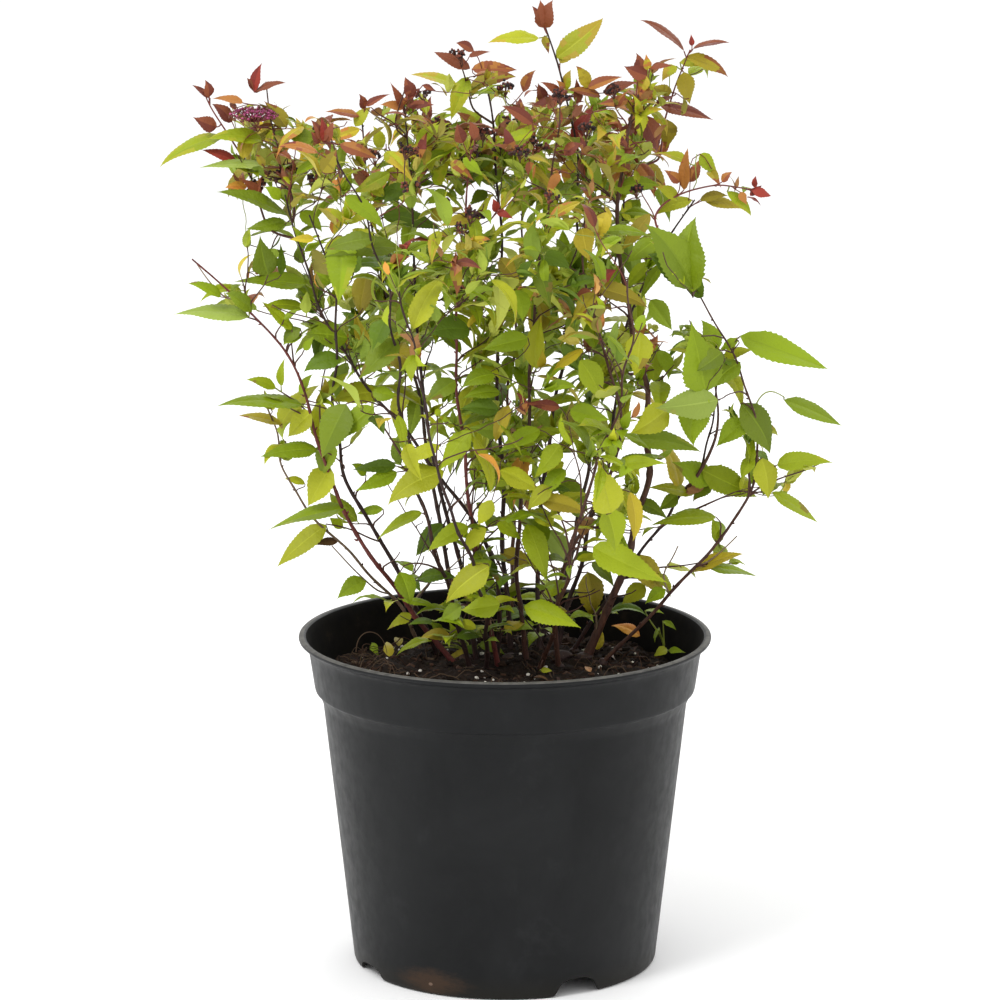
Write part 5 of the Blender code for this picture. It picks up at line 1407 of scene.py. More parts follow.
def seed_head(at, up, rng, scale=1.0):
    """A flat-topped cluster of thin forked stalks, each with a few dry capsules."""
    up = unit(up)
    a = unit(np.cross(up, [0.31, 0.17, 0.93]))
    b = np.cross(up, a)
    for i in range(int(rng.integers(5, 8))):
        ang, lean = 2.4 * i + rng.uniform(-0.4, 0.4), rng.uniform(0.15, 0.95)
        d = unit(up + lean * (math.cos(ang) * a + math.sin(ang) * b))
        L = rng.uniform(0.007, 0.012) * scale
        end = at + d * L
        mid = at + d * L * 0.5 + rng.normal(0, 0.0005, 3)
        V, Q, T = tube_shell([at, mid, end], [0.0004, 0.00032, 0.00028], 4)
        SEEDS.add(V, Q, T, 0, 0)
        for k in range(int(rng.integers(5, 9))):
            d2 = unit(d + 0.9 * rng.normal(size=3) * 0.6)
            tip = end - d * rng.uniform(0, 0.35) * L + d2 * rng.uniform(0.0015, 0.0038) * scale
            V, Q, T = tube_shell([end - d * 0.2 * L, tip], [0.00022, 0.00020], 3)
            SEEDS.add(V, Q, T, 0, 0)
            V, F = bead(tip, rng.uniform(0.0010, 0.0016) * scale, rng.uniform(0.75, 1.2))
            SEEDS.add(V, None, F, 0, int(rng.integers(1, 4)))


SET_HEADS = [  # pixel of the crown of the head, depth, scale
    (462, 52, -0.010, 0.7), (505, 87, -0.020, 0.8), (483, 132, -0.040, 0.8), (511, 145, -0.050, 0.8), (475, 213, -0.080, 0.8), (614, 90, 0.0, 0.8),
    (262, 268, -0.03, 0.7), (375, 156, -0.05, 0.8), (440, 124, -0.03, 0.8), (560, 96, -0.03, 0.9),
    (470, 214, -0.09, 0.7), (520, 150, -0.07, 0.8), (424, 92, -0.02, 0.7), (636, 188, -0.02, 0.7), (405, 150, -0.07, 0.8), (586, 128, -0.03, 0.8),
    (282, 166, -0.024, 0.8), (276, 174, -0.020, 0.8), (290, 172, -0.026, 0.8), (252, 186, -0.020, 0.7), (260, 183, -0.022, 0.7),
    (322, 180, -0.036, 0.8), (312, 178, -0.034, 0.7), (318, 128, -0.036, 0.7)]
for hx, hy, depth, grown in SET_HEADS:
    _, limb, s, base, d = nearest_limb((hx, hy + 10), depth)
    if d > 0.004:
        twig = grow(limb, s, base, limb.order + 1, "brown", head_rng, end_dir=unit([0, 0, 1.0]), r1=0.0004)
        V, Q, T = tube_shell(twig.P, twig.R, 6)
        TWIGS["twig"].add(V, Q, T, TWIG_SLOT["brown"], TWIG_SLOT["brown"])
    seed_head(base, unit([head_rng.normal(0, 0.2), head_rng.normal(0, 0.2), 1.0]), head_rng, grown)
for twig in HEADS:
    seed_head(twig.P[-1], unit(twig.T[-1] + np.array([0, 0, 0.5])), head_rng, head_rng.uniform(0.6, 0.85))

FLOWER = Pile()
fl_rng = np.random.default_rng(33)
_, limb, s, fbase, d = nearest_limb((254, 122), -0.03)
twig = grow(limb, s, fbase, 2, "red", fl_rng, end_dir=unit([0, 0, 1.0]))
V, Q, T = tube_shell(twig.P, twig.R, 6)
TWIGS["twig"].add(V, Q, T, TWIG_SLOT["red"], TWIG_SLOT["red"])
for i in range(62):
    ang, rad = 2.4 * i, 0.0148 * math.sqrt((i + 0.5) / 62)
    c = fbase + np.array([math.cos(ang) * rad, math.sin(ang) * rad * 0.9, 0.0072 + fl_rng.uniform(-0.0018, 0.0018) - 15 * rad * rad])
    V, Q, T = tube_shell([fbase + (c - fbase) * 0.05, (fbase + c) / 2 + np.array([0, 0, -0.0006]), c], [0.00035, 0.00025, 0.00022], 3)
    FLOWER.add(V, Q, T, 2, 2)
    V, F = bead(c, 0.0009, 0.8)
    FLOWER.add(V, None, F, 0, int(fl_rng.integers(0, 2)))
    if fl_rng.random() < 0.30:
        for _ in range(3):
            V, F = bead(c + fl_rng.normal(0, 0.0013, 3), fl_rng.uniform(0.0007, 0.0011), 0.9)
            FLOWER.add(V, None, F, 3, 3)
        continue
    tilt = unit(np.array([math.cos(ang), math.sin(ang), 2.2]) + fl_rng.normal(0, 0.3, 3))
    a = unit(np.cross(tilt, [0.3, 0.1, 0.5]))
    b = np.cross(tilt, a)
    for k in range(5):
        q = 2 * math.pi * k / 5 + ang
        out = math.cos(q) * a + math.sin(q) * b
        side = np.cross(tilt, out)
        r = fl_rng.uniform(0.0017, 0.0023)
        W = np.array([c + out * 0.0004, c + out * r * 0.6 + side * r * 0.42 + tilt * 0.0004, c + out * r * 1.15 + tilt * 0.0007,
                      c + out * r * 0.6 - side * r * 0.42 + tilt * 0.0004, c + out * r * 0.6 - tilt * 0.00012])
        FLOWER.add(W, None, [(0, 1, 2), (0, 2, 3), (4, 1, 0), (4, 2, 1), (4, 3, 2), (4, 0, 3)], 0, int(fl_rng.integers(0, 3)))

# ------------------------------------------------------------------ main stems with bark relief, one mesh for each bark
BARK = {
    "dark": bark("bark_dark", srgb(32, 20, 20), srgb(66, 42, 38), srgb(98, 76, 66)),
    "brown": bark("bark_brown", srgb(48, 27, 22), srgb(92, 58, 44), srgb(124, 96, 76)),
    "red": bark("bark_red", srgb(70, 30, 30), srgb(116, 54, 46), srgb(146, 102, 84)),
    "grey": bark("bark_grey", srgb(84, 66, 52), srgb(128, 104, 82), srgb(150, 130, 106)),
}
STEM_PILES = {k: Pile() for k in BARK}
relief = np.random.default_rng(62)
for limb in MAIN:
    n = int(limb.length / 0.0027)
    s = np.linspace(-0.006, limb.length, n)
    P = np.array([limb.at(max(q, 0))[0] for q in s])
    T0 = unit(limb.P[1] - limb.P[0])
    P[s < 0] = limb.P[0] + T0 * s[s < 0][:, None]
    R = np.interp(s, limb.s, limb.R) * {"stem_outer_left": 0.72, "stem_far_right": 0.74, "stem_right_rising": 0.82}.get(limb.name, 1.0)
    foot = np.clip(1 - s / 0.030, 0, 1.3)
    R = R * (1 + 0.30 * foot ** 3)
    node = np.zeros(n)
    q = 0.016
    while q < limb.length:
        node += np.exp(-((s - q) / 0.0022) ** 2) * relief.uniform(0.10, 0.26)
        q += relief.uniform(0.014, 0.028)
    R = R * (1 + node)
    sides = 11
    a = np.arange(sides) * 2 * math.pi / sides
    ridge = np.zeros((n, sides))
    for _ in range(5):
        ridge += relief.uniform(0.012, 0.03) * np.sin(a[None] * relief.integers(1, 5) + s[:, None] * relief.uniform(60, 420) + relief.uniform(0, 6.28))
    ridge += relief.normal(0, 0.022, (n, sides))
    V, Q, T = tube_shell(P, R, sides, 1 + ridge)
    STEM_PILES[limb.kind].add(V, Q, T)


def value_noise(X, Y, Z, scale, seed):
    """Smooth seeded lattice noise in 0..1 for arrays of points."""
    x, y, z = X * scale, Y * scale, Z * scale
    xi, yi, zi = (np.floor(c).astype(np.int64) for c in (x, y, z))
    fx, fy, fz = x - xi, y - yi, z - zi
    fx, fy, fz = (f * f * (3 - 2 * f) for f in (fx, fy, fz))

    def h(i, j, k):
        n = (i * 374761393 + j * 668265263 + k * 2147483647 + seed * 1274126177) & 0xFFFFFFFF
        n = ((n ^ (n >> 13)) * 1274126177) & 0xFFFFFFFF
        return ((n ^ (n >> 16)) & 0xFFFF) / 65535.0
    out = 0
    for dx in (0, 1):
        for dy in (0, 1):
            for dz in (0, 1):
                w = (fx if dx else 1 - fx) * (fy if dy else 1 - fy) * (fz if dz else 1 - fz)
                out = out + w * h(xi + dx, yi + dy, zi + dz)
    return out


# woody crown: knuckles of old wood where the stems leave the soil, joined with the dark bark
def knuckle(centre, size, seed, pile):
    n, m = 20, 30
    th = np.linspace(0, math.pi, n)[1:-1]
    ph = np.arange(m) * 2 * math.pi / m
    D = np.stack([np.sin(th)[:, None] * np.cos(ph), np.sin(th)[:, None] * np.sin(ph), np.cos(th)[:, None] * np.ones(m)], -1).reshape(-1, 3)
    D = np.concatenate([D, [[0, 0, 1]], [[0, 0, -1]]])
    P = np.asarray(centre) + D * np.asarray(size)
    f = value_noise(P[:, 0], P[:, 1], P[:, 2], 120, seed) - 0.5 + 0.6 * (value_noise(P[:, 0], P[:, 1], P[:, 2], 420, seed + 3) - 0.5)
    P = np.asarray(centre) + D * np.asarray(size) * (1 + 0.42 * f)[:, None]
    Q = []
    for i in range(n - 3):
        for j in range(m):
            k = (j + 1) % m
            Q.append((i * m + j, (i + 1) * m + j, (i + 1) * m + k, i * m + k))
    top, bot = (n - 2) * m, (n - 2) * m + 1
    T = [(top, j, (j + 1) % m) for j in range(m)] + [(bot, (n - 3) * m + (j + 1) % m, (n - 3) * m + j) for j in range(m)]
    pile.add(P, np.array(Q), np.array(T))


kn = np.random.default_rng(77)
for limb in MAIN:
    c = limb.P[0] + np.array([0, 0, -0.0005])
    knuckle(c, (kn.uniform(0.0026, 0.0038), kn.uniform(0.0026, 0.0036), kn.uniform(0.0022, 0.0034)), int(kn.integers(999)), STEM_PILES["dark"])
for cx, cy, sx, sy, sz in ((-0.028, 0.018, 0.008, 0.007, 0.004), (0.006, 0.018, 0.010, 0.008, 0.004), (0.034, 0.028, 0.009, 0.007, 0.004), (0.050, 0.024, 0.006, 0.006, 0.004)):
    knuckle((cx, cy, 0.1885), (sx, sy, sz), int(kn.integers(999)), STEM_PILES["dark"])

# ------------------------------------------------------------------ pot
def wall_inside(z):
    t = (z - 0.004) / (POT_STEP_Z - 0.004)
    if z > POT_BAND_Z:
        return POT_BAND_R - POT_WALL
    return POT_FOOT_R + 0.0006 + (POT_STEP_R - POT_FOOT_R - 0.0006) * min(t, 1.0) - POT_WALL


def pot_profile():
    lip, w = POT_RIM_R, POT_WALL
    outside = [(lip - 0.0020, POT_H), (lip - 0.0008, POT_H - 0.0002), (lip - 0.0002, POT_H - 0.0008), (lip, POT_H - 0.0015),
               (lip - 0.0003, POT_H - 0.0024), (lip - 0.0012, POT_H - 0.0032), (lip - 0.0032, POT_H - 0.0041),
               (lip - 0.0048, POT_H - 0.0054), (lip - 0.0058, POT_H - 0.0074), (POT_BAND_R + 0.0036, POT_H - 0.0104),
               (POT_BAND_R + 0.0030, POT_H - 0.0135), (POT_BAND_R + 0.0004, POT_BAND_Z + 0.0010), (POT_BAND_R, POT_BAND_Z - 0.0012),
               (POT_BAND_R - 0.0003, POT_BAND_Z - 0.0021), (POT_BAND_R - 0.0014, POT_BAND_Z - 0.0028),
               (POT_BAND_R - 0.0024, POT_BAND_Z - 0.0040), (POT_BAND_R - 0.0034, POT_BAND_Z - 0.0064),
               (POT_STEP_R + 0.0008, POT_BAND_Z - 0.0090), (POT_STEP_R + 0.0002, POT_BAND_Z - 0.0108), (POT_STEP_R, POT_STEP_Z - 0.0004)]
    for k in range(1, 24):
        z = POT_STEP_Z - 0.0004 + (0.0044 - POT_STEP_Z) * k / 23
        outside.append((POT_STEP_R + (POT_FOOT_R + 0.0006 - POT_STEP_R) * k / 23, z))
    outside += [(POT_FOOT_R + 0.0004, 0.0022), (POT_FOOT_R, 0.0010), (POT_FOOT_R - 0.0005, 0.0003), (POT_FOOT_R - 0.0012, 0.0)]
    inside = [(POT_FOOT_R - 0.0012 - w, 0.0), (POT_FOOT_R - w + 0.0002, 0.0040), (POT_FOOT_R - w + 0.0004, POT_FLOOR_Z - 0.0016),
              (POT_FOOT_R - w - 0.0010, POT_FLOOR_Z), (0.060, POT_FLOOR_Z), (0.030, POT_FLOOR_Z), (0.0, POT_FLOOR_Z),
              (0.0, POT_FLOOR_Z + w), (0.05, POT_FLOOR_Z + w), (wall_inside(POT_FLOOR_Z + w) - 0.0020, POT_FLOOR_Z + w),
              (wall_inside(POT_FLOOR_Z + w + 0.002), POT_FLOOR_Z + w + 0.0020)]
    for k in range(1, 8):
        z = 0.0139 + (POT_STEP_Z - 0.0139) * k / 7
        inside.append((wall_inside(z) if k < 7 else POT_STEP_R - w, z))
    inside += [(POT_BAND_R - 0.0042 - w, POT_BAND_Z - 0.0072), (POT_BAND_R - 0.0012 - w, POT_BAND_Z - 0.0020), (POT_BAND_R - w, POT_BAND_Z + 0.0010),
               (POT_BAND_R + 0.0030 - w, POT_H - 0.0130), (POT_BAND_R + 0.0042 - w, POT_H - 0.0095), (POT_RIM_R - 0.0068, POT_H - 0.0050),
               (POT_RIM_R - 0.0056, POT_H - 0.0024), (POT_RIM_R - 0.0045, POT_H - 0.0008), (POT_RIM_R - 0.0032, POT_H)]
    return outside + inside


def turned(name, profile, steps, mats):
    """A closed profile turned round +Z; points on the axis are shared."""
    V, ring = [], []
    for r, z in profile:
        if r < 1e-6:
            ring.append([len(V)] * steps)
            V.append((0, 0, z))
        else:
            ring.append(list(range(len(V), len(V) + steps)))
            V += [(r * math.cos(2 * math.pi * k / steps), r * math.sin(2 * math.pi * k / steps), z) for k in range(steps)]
    F = []
    n = len(profile)
    for i in range(n):
        a, b = ring[i], ring[(i + 1) % n]
        if a[0] == a[1] and b[0] == b[1]:
            continue
        for k in range(steps):
            k2 = (k + 1) % steps
            f = [a[k], b[k], b[k2], a[k2]]
            f = [q for j, q in enumerate(f) if q not in f[:j]]
            F.append(f)
    me = bpy.data.meshes.new(name)
    me.from_pydata(V, [], F)
    me.polygons.foreach_set("use_smooth", np.full(len(me.polygons), True))
    for m in mats:
        me.materials.append(m)
    me.update()
    ob = bpy.data.objects.new(name, me)
    bpy.context.scene.collection.objects.link(ob)
    return ob


def apply_modifiers(ob):
    dg = bpy.context.evaluated_depsgraph_get()
    me = bpy.data.meshes.new_from_object(ob.evaluated_get(dg))
    old = ob.data
    ob.modifiers.clear()
    ob.data = me
    bpy.data.meshes.remove(old)
    me.name = ob.name


PLASTIC = plastic()
pot = turned("pot_moulded", pot_profile(), 208, [PLASTIC])
cutters = []
for k in range(NOTCH_COUNT):
    side = ((0.0172, -0.0040), (0.0166, -0.0004), (0.0156, 0.0009), (0.0145, 0.0026), (0.0134, 0.0048), (0.0122, 0.0069), (0.0104, 0.0088),
            (0.0080, 0.0100), (0.0052, 0.0107), (0.0020, 0.0110))
    low = 0.62 if k == 3 else 1.0
    side = tuple((x, z * low if z > 0 else z) for x, z in side)
    line = [(-x, z) for x, z in side[:1]] + list(side) + [(-x, z) for x, z in reversed(side[1:])]
    V = [(x, y, z) for y in (-POT_FOOT_R - 0.010, -POT_FOOT_R + 0.010) for x, z in line]
    n = len(line)
    F = [tuple(range(n)), tuple(reversed(range(n, 2 * n)))] + [(i, n + i, n + (i + 1) % n, (i + 1) % n) for i in range(n)]
    me = bpy.data.meshes.new("notch_%d" % k)
    me.from_pydata(V, [], F)
    bm = bmesh.new()
    bm.from_mesh(me)
    bmesh.ops.recalc_face_normals(bm, faces=bm.faces)
    bm.to_mesh(me)
    bm.free()
    cut = bpy.data.objects.new("notch_%d" % k, me)
    cut.rotation_euler = (0, 0, math.radians(NOTCH_FIRST + 360.0 / NOTCH_COUNT * k))
    bpy.context.scene.collection.objects.link(cut)
    cutters.append(cut)
    mod = pot.modifiers.new("notch_%d" % k, "BOOLEAN")
    mod.operation, mod.solver, mod.object = "DIFFERENCE", "EXACT", cut
bpy.context.view_layer.update()
apply_modifiers(pot)
for cut in cutters:
    bpy.data.objects.remove(cut, do_unlink=True)
pot.data.set_sharp_from_angle(angle=math.radians(42))
# dark material for the upper inner wall: painted shade inside the pot, mottled towards brown soil dust
POT_INSIDE_SHADE_AND_DUST, nt, b, co = tree_of("pot_inside_shade_and_dust", 0.85, 0.08)
inside_shade_dust_noise = add_noise(nt, co, 60.0, 6.0, 0.7)
shade = add_ramp(nt, inside_shade_dust_noise.outputs["Fac"], [(0.35, srgb(12, 11, 11)), (0.60, srgb(22, 19, 17)), (0.78, srgb(44, 35, 28))])
nt.links.new(shade.outputs["Color"], b.inputs["Base Color"])
pot.data.materials.append(POT_INSIDE_SHADE_AND_DUST)
# light grey material for the top of the lip: a painted highlight, mottled by noise
LIP_TOP_HIGHLIGHT, nt, b, co = tree_of("lip_top_painted_highlight", 0.55, 0.25)
lip_highlight_noise = add_noise(nt, co, 90.0, 4.0, 0.65)
shade = add_ramp(nt, lip_highlight_noise.outputs["Fac"], [(0.32, srgb(58, 57, 55)), (0.70, srgb(98, 96, 92))])
nt.links.new(shade.outputs["Color"], b.inputs["Base Color"])
pot.data.materials.append(LIP_TOP_HIGHLIGHT)
for face in pot.data.polygons:
    mid, nor = face.center, face.normal
    # painted highlight: the upward-facing faces at the top of the lip take the light lip material
    if mid.z > POT_H - 0.0012 and nor.z > 0.40 and math.hypot(mid.x, mid.y) > POT_RIM_R - 0.0034:
        face.material_index = 2
        continue
    # painted shade: the inward-facing wall faces above 0.15 m, up to just under the lip, take the dark inside material
    if mid.z > 0.15 and mid.z < POT_H - 0.0014 and mid.x * nor.x + mid.y * nor.y < -0.2 * math.hypot(mid.x, mid.y):
        face.material_index = 1

# ------------------------------------------------------------------ potting mix
def soil_level(x, y):
    """Measured mound: nearly level middle, easing down to the wall, with lumps."""
    r = np.hypot(x, y)
    edge = POT_BAND_R - POT_WALL
    u = np.clip((r - SOIL_FLAT_R) / (edge - SOIL_FLAT_R), 0, 1)
    z = SOIL_MID_Z + (SOIL_EDGE_Z - SOIL_MID_Z) * (1 - np.cos(u * math.pi)) / 2
    z = z + 0.0035 * np.exp(-(((x - 0.008) / 0.055) ** 2 + ((y - 0.022) / 0.035) ** 2))
    zz = np.zeros_like(x)
    lump = 0
    for scale, amp, seed in ((38, 0.0042, 1), (110, 0.0026, 2), (300, 0.0016, 3), (760, 0.0008, 4)):
        lump = lump + amp * (value_noise(x + 3, y + 3, zz, scale, seed) - 0.5) * 2
    return z + lump * 0.8


rows, cols = 96, 212
r_edge = wall_inside(0.181) - 0.0003
rad = np.linspace(0, 1, rows)[1:] ** 0.86 * (wall_inside(0.181) - 0.0003)
ang = np.arange(cols) * 2 * math.pi / cols
X, Y = rad[:, None] * np.cos(ang), rad[:, None] * np.sin(ang)
Z = soil_level(X, Y)
top = np.stack([X, Y, Z], -1).reshape(-1, 3)
low = []
for z, inset in ((0.166, 0.0003), (0.10, 0.0004), (0.0155, 0.0005), (0.0125, 0.0035)):
    rr = wall_inside(min(z, POT_STEP_Z)) - inset
    low.append(np.stack([rr * np.cos(ang), rr * np.sin(ang), np.full(cols, z)], -1))
low = np.concatenate(low)
V = np.concatenate([top, low, [[0, 0, float(soil_level(np.zeros(1), np.zeros(1))[0])]], [[0, 0, 0.0125]]])
i, j = np.meshgrid(np.arange(rows - 1 + 4 - 1), np.arange(cols), indexing="ij")
j2 = (j + 1) % cols
Q = np.stack([i * cols + j, (i + 1) * cols + j, (i + 1) * cols + j2, i * cols + j2], -1).reshape(-1, 4)
k = np.arange(cols)
k2 = (k + 1) % cols
c_top, c_low = len(V) - 2, len(V) - 1
last = (rows - 1 + 4 - 1) * cols
T = np.concatenate([np.stack([np.full(cols, c_top), k, k2], -1), np.stack([np.full(cols, c_low), last + k2, last + k], -1)])
SOIL = Pile()
SOIL.add(V, Q, T)

CRUMBS = Pile()
crumb_rng = np.random.default_rng(808)


def soil_spot(rng, edge=0.112):
    while True:
        x, y = rng.uniform(-edge, edge, 2)
        if math.hypot(x, y) < edge:
            return x, y, float(soil_level(np.array([x]), np.array([y]))[0])


for _ in range(900):
    x, y, z = soil_spot(crumb_rng)
    size = crumb_rng.choice([0.0009, 0.0014, 0.0021, 0.0032], p=[0.4, 0.32, 0.2, 0.08]) * crumb_rng.uniform(0.8, 1.25)
    V, F = bead((0, 0, 0), size)
    V = V * crumb_rng.uniform(0.55, 1.35, (len(V), 1)) * np.array([crumb_rng.uniform(0.8, 1.4), crumb_rng.uniform(0.7, 1.2), crumb_rng.uniform(0.5, 0.9)])
    V = V + np.array([x, y, z + size * 0.25])
    CRUMBS.add(V, None, F, 0, int(crumb_rng.choice([0, 1, 2, 3], p=[0.5, 0.2, 0.2, 0.1])))
for _ in range(260):          # bark chips
    x, y, z = soil_spot(crumb_rng, 0.110)
    L, W, H = crumb_rng.uniform(0.003, 0.010), crumb_rng.uniform(0.0012, 0.0032), crumb_rng.uniform(0.0005, 0.0014)
    e1 = unit(crumb_rng.normal(size=3) * np.array([1, 1, 0.28]))
    e3 = unit(np.cross(e1, np.cross([0, 0, 1.0], e1)) + crumb_rng.normal(0, 0.2, 3))
    e2 = np.cross(e3, e1)
    V = np.array([(sx, sy, sz) for sx in (-1, 1) for sy in (-1, 1) for sz in (-1, 1)], float) * crumb_rng.uniform(0.6, 1.1, (8, 1))
    V = (V * np.array([L, W, H]) / 2) @ np.stack([e1, e2, e3]) + np.array([x, y, z + H * 0.4])
    CRUMBS.add(V, [(0, 1, 3, 2), (4, 6, 7, 5), (0, 4, 5, 1), (2, 3, 7, 6), (0, 2, 6, 4), (1, 5, 7, 3)], None, int(crumb_rng.choice([2, 3, 4, 5])), 0)
for _ in range(70):           # perlite and small stones
    x, y, z = soil_spot(crumb_rng, 0.108)
    V, F = bead((0, 0, 0), crumb_rng.uniform(0.0007, 0.0016))
    CRUMBS.add(V * crumb_rng.uniform(0.7, 1.2, (12, 1)) + np.array([x, y, z + 0.0003]), None, F, 0, 6)
for px, py, size in ((505, 671, 0.0019), (600, 668, 0.0017), (520, 655, 0.0011), (560, 664, 0.0010), (482, 672, 0.0011), (633, 656, 0.0012)):
    p = spot(px, py, -0.05)
    for _ in range(12):
        z = float(soil_level(np.array([p[0]]), np.array([p[1]]))[0])
        p = spot(px, py, p[1] - (z - p[2]) / math.tan(CAM_PITCH) * 0.8) if abs(z - p[2]) > 1e-4 else p
    if math.hypot(p[0], p[1]) < 0.112:
        V, F = bead((0, 0, 0), size)
        CRUMBS.add(V * crumb_rng.uniform(0.75, 1.2, (12, 1)) + np.array([p[0], p[1], z + 0.0006]), None, F, 0, 6)
for _ in range(150):          # fibres and fine roots
    x, y, z = soil_spot(crumb_rng, 0.106)
    L, a0, bend = crumb_rng.uniform(0.006, 0.024), crumb_rng.uniform(0, 6.28), crumb_rng.uniform(-2.2, 2.2)
    m = 7
    u = np.linspace(0, 1, m)
    aa = a0 + bend * u
    xx = x + np.cumsum(np.cos(aa)) * L / m
    yy = y + np.cumsum(np.sin(aa)) * L / m
    ok = np.hypot(xx, yy) < 0.112
    if ok.sum() < 4:
        continue
    xx, yy, u = xx[ok], yy[ok], u[ok]
    zz = soil_level(xx, yy) + 0.0005 + crumb_rng.uniform(0, 0.0035) * np.sin(u * math.pi)
    V, Q, T = tube_shell(np.stack([xx, yy, zz], -1), np.full(len(xx), crumb_rng.uniform(0.00018, 0.00045)), 4)
    slot = int(crumb_rng.choice([3, 4, 5]))
    CRUMBS.add(V, Q, T, slot, slot)
loop = np.array([spot(x, y, -0.010) for x, y in ((356, 652), (357, 640), (365, 631), (377, 632), (385, 642), (387, 653))])
k = np.linspace(0, 5, 41)
loop = np.stack([np.interp(k, np.arange(6), loop[:, a]) for a in range(3)], -1)
for _ in range(26):
    loop[1:-1] = (loop[:-2] + 2 * loop[1:-1] + loop[2:]) / 4
loop[:, 2] = np.maximum(loop[:, 2], soil_level(loop[:, 0], loop[:, 1]) + 0.0006)
V, Q, T = tube_shell(loop, np.linspace(0.0004, 0.0002, 41), 6)
CRUMBS.add(V, Q, T, 5, 5)

for _ in range(90):
    if crumb_rng.random() < 0.7:
        a0, rad = math.radians(crumb_rng.uniform(150, 222)), crumb_rng.uniform(0.080, 0.110)
    else:
        a0, rad = crumb_rng.uniform(0, 6.28), crumb_rng.uniform(0.050, 0.108)
    x, y, L = rad * math.cos(a0), rad * math.sin(a0), crumb_rng.uniform(0.012, 0.036)
    u = np.linspace(0, 1, 12)
    head = crumb_rng.uniform(0, 6.28) + crumb_rng.uniform(-3.5, 3.5) * u
    xx, yy = x + np.cumsum(np.cos(head)) * L / 12, y + np.cumsum(np.sin(head)) * L / 12
    ok = np.hypot(xx, yy) < 0.1115
    if ok.sum() < 6:
        continue
    xx, yy, u = xx[ok], yy[ok], u[ok]
    zz = soil_level(xx, yy) + 0.0004 + crumb_rng.uniform(0.001, 0.009) * np.sin(u * math.pi)
    V, Q, T = tube_shell(np.stack([xx, yy, zz], -1), np.full(len(xx), crumb_rng.uniform(0.00018, 0.00040)), 4)
    slot = int(crumb_rng.choice([2, 3, 5], p=[0.3, 0.3, 0.4]))
    CRUMBS.add(V, Q, T, slot, slot)

# fallen leaves on the soil and the small shoots rising from it
fall_rng = np.random.default_rng(61)


def on_soil(px, py, lift):
    p = spot(px, py, 0.0)
    for _ in range(30):
        z = float(soil_level(np.array([p[0]]), np.array([p[1]]))[0]) + lift
        most = math.sqrt(max(0.0, 0.108 ** 2 - p[0] ** 2))
        p = spot(px, py, float(np.clip(p[1] + (p[2] - z) * 1.6, -most, most)))
    return p


for bx, by, tx, ty, w, tone in ((640, 636, 611, 626, 13, "orange"), (596, 650, 601, 629, 9, "yellow")):
    b0, t0 = on_soil(bx, by, 0.003), on_soil(tx, ty, 0.004)
    t0 = spot(tx, ty, b0[1] + 0.006)
    add_leaf(b0, t0 - b0, (0.1, -0.5, 0.8), float(np.linalg.norm(t0 - b0)), tone, fall_rng, width=0.45, lod=3)
for _ in range(6):
    x, y, z = soil_spot(fall_rng, 0.088)
    e = unit([fall_rng.normal(), fall_rng.normal(), 0.05])
    add_leaf((x, y, z + 0.0025), e, (0.1, -0.1, 1), fall_rng.uniform(0.011, 0.019), str(fall_rng.choice(["withered", "tan", "withered", "olive"])), fall_rng)

SHOOTS = [  # foot pixel, leaf sets (base, tip, width, tone)
    ((462, 652), [(434, 640, 396, 667, 11, "fresh"), (436, 645, 438, 677, 13, "deep"), (468, 656, 448, 677, 13, "olive"), (478, 660, 460, 670, 9, "deep")]),
    ((470, 652), [(479, 644, 505, 657, 12, "moss"), (412, 614, 387, 630, 9, "lime"), (441, 636, 430, 622, 10, "mid"), (456, 640, 449, 622, 9, "fresh")]),
    ((664, 650), [(645, 611, 664, 614, 5, "mid"), (663, 621, 676, 630, 6, "mid"), (659, 628, 655, 643, 4, "mid"), (666, 648, 654, 656, 11, "lime"), (669, 650, 686, 653, 6, "mid")]),
    ((376, 656), [(372, 643, 379, 656, 7, "mid")]),
    ((540, 672), [(541, 676, 552, 678, 5, "lime")]),
]
for (fx, fy), leaves in SHOOTS:
    root = on_soil(fx, fy, 0.0)
    for bx, by, tx, ty, w, tone in leaves:
        base = spot(bx, by, root[1] - fall_rng.uniform(0.0, 0.012))
        base[2] = max(base[2], float(soil_level(base[None, 0], base[None, 1])[0]) + 0.003)
        P = hermite(root, unit([0, 0, 1.0]), base, unit(base - root + np.array([0, 0, 0.01])), 8)
        V, Q, T = tube_shell(P, np.linspace(0.0007, 0.0004, 8), 5)
        TWIGS["twig"].add(V, Q, T, TWIG_SLOT["green"], TWIG_SLOT["green"])
        tip = spot(tx, ty, base[1] - fall_rng.uniform(0, 0.006))
        tip[2] = max(tip[2], float(soil_level(tip[None, 0], tip[None, 1])[0]) + 0.002)
        ratio = w / max(1, math.hypot(tx - bx, ty - by))
        add_leaf(base, tip - base, facing(unit(tip - base), float(np.clip(ratio / 0.42, 0.3, 0.95))), float(np.linalg.norm(tip - base)), tone, fall_rng,
                 width=float(np.clip(ratio, 0.38, 0.6)))

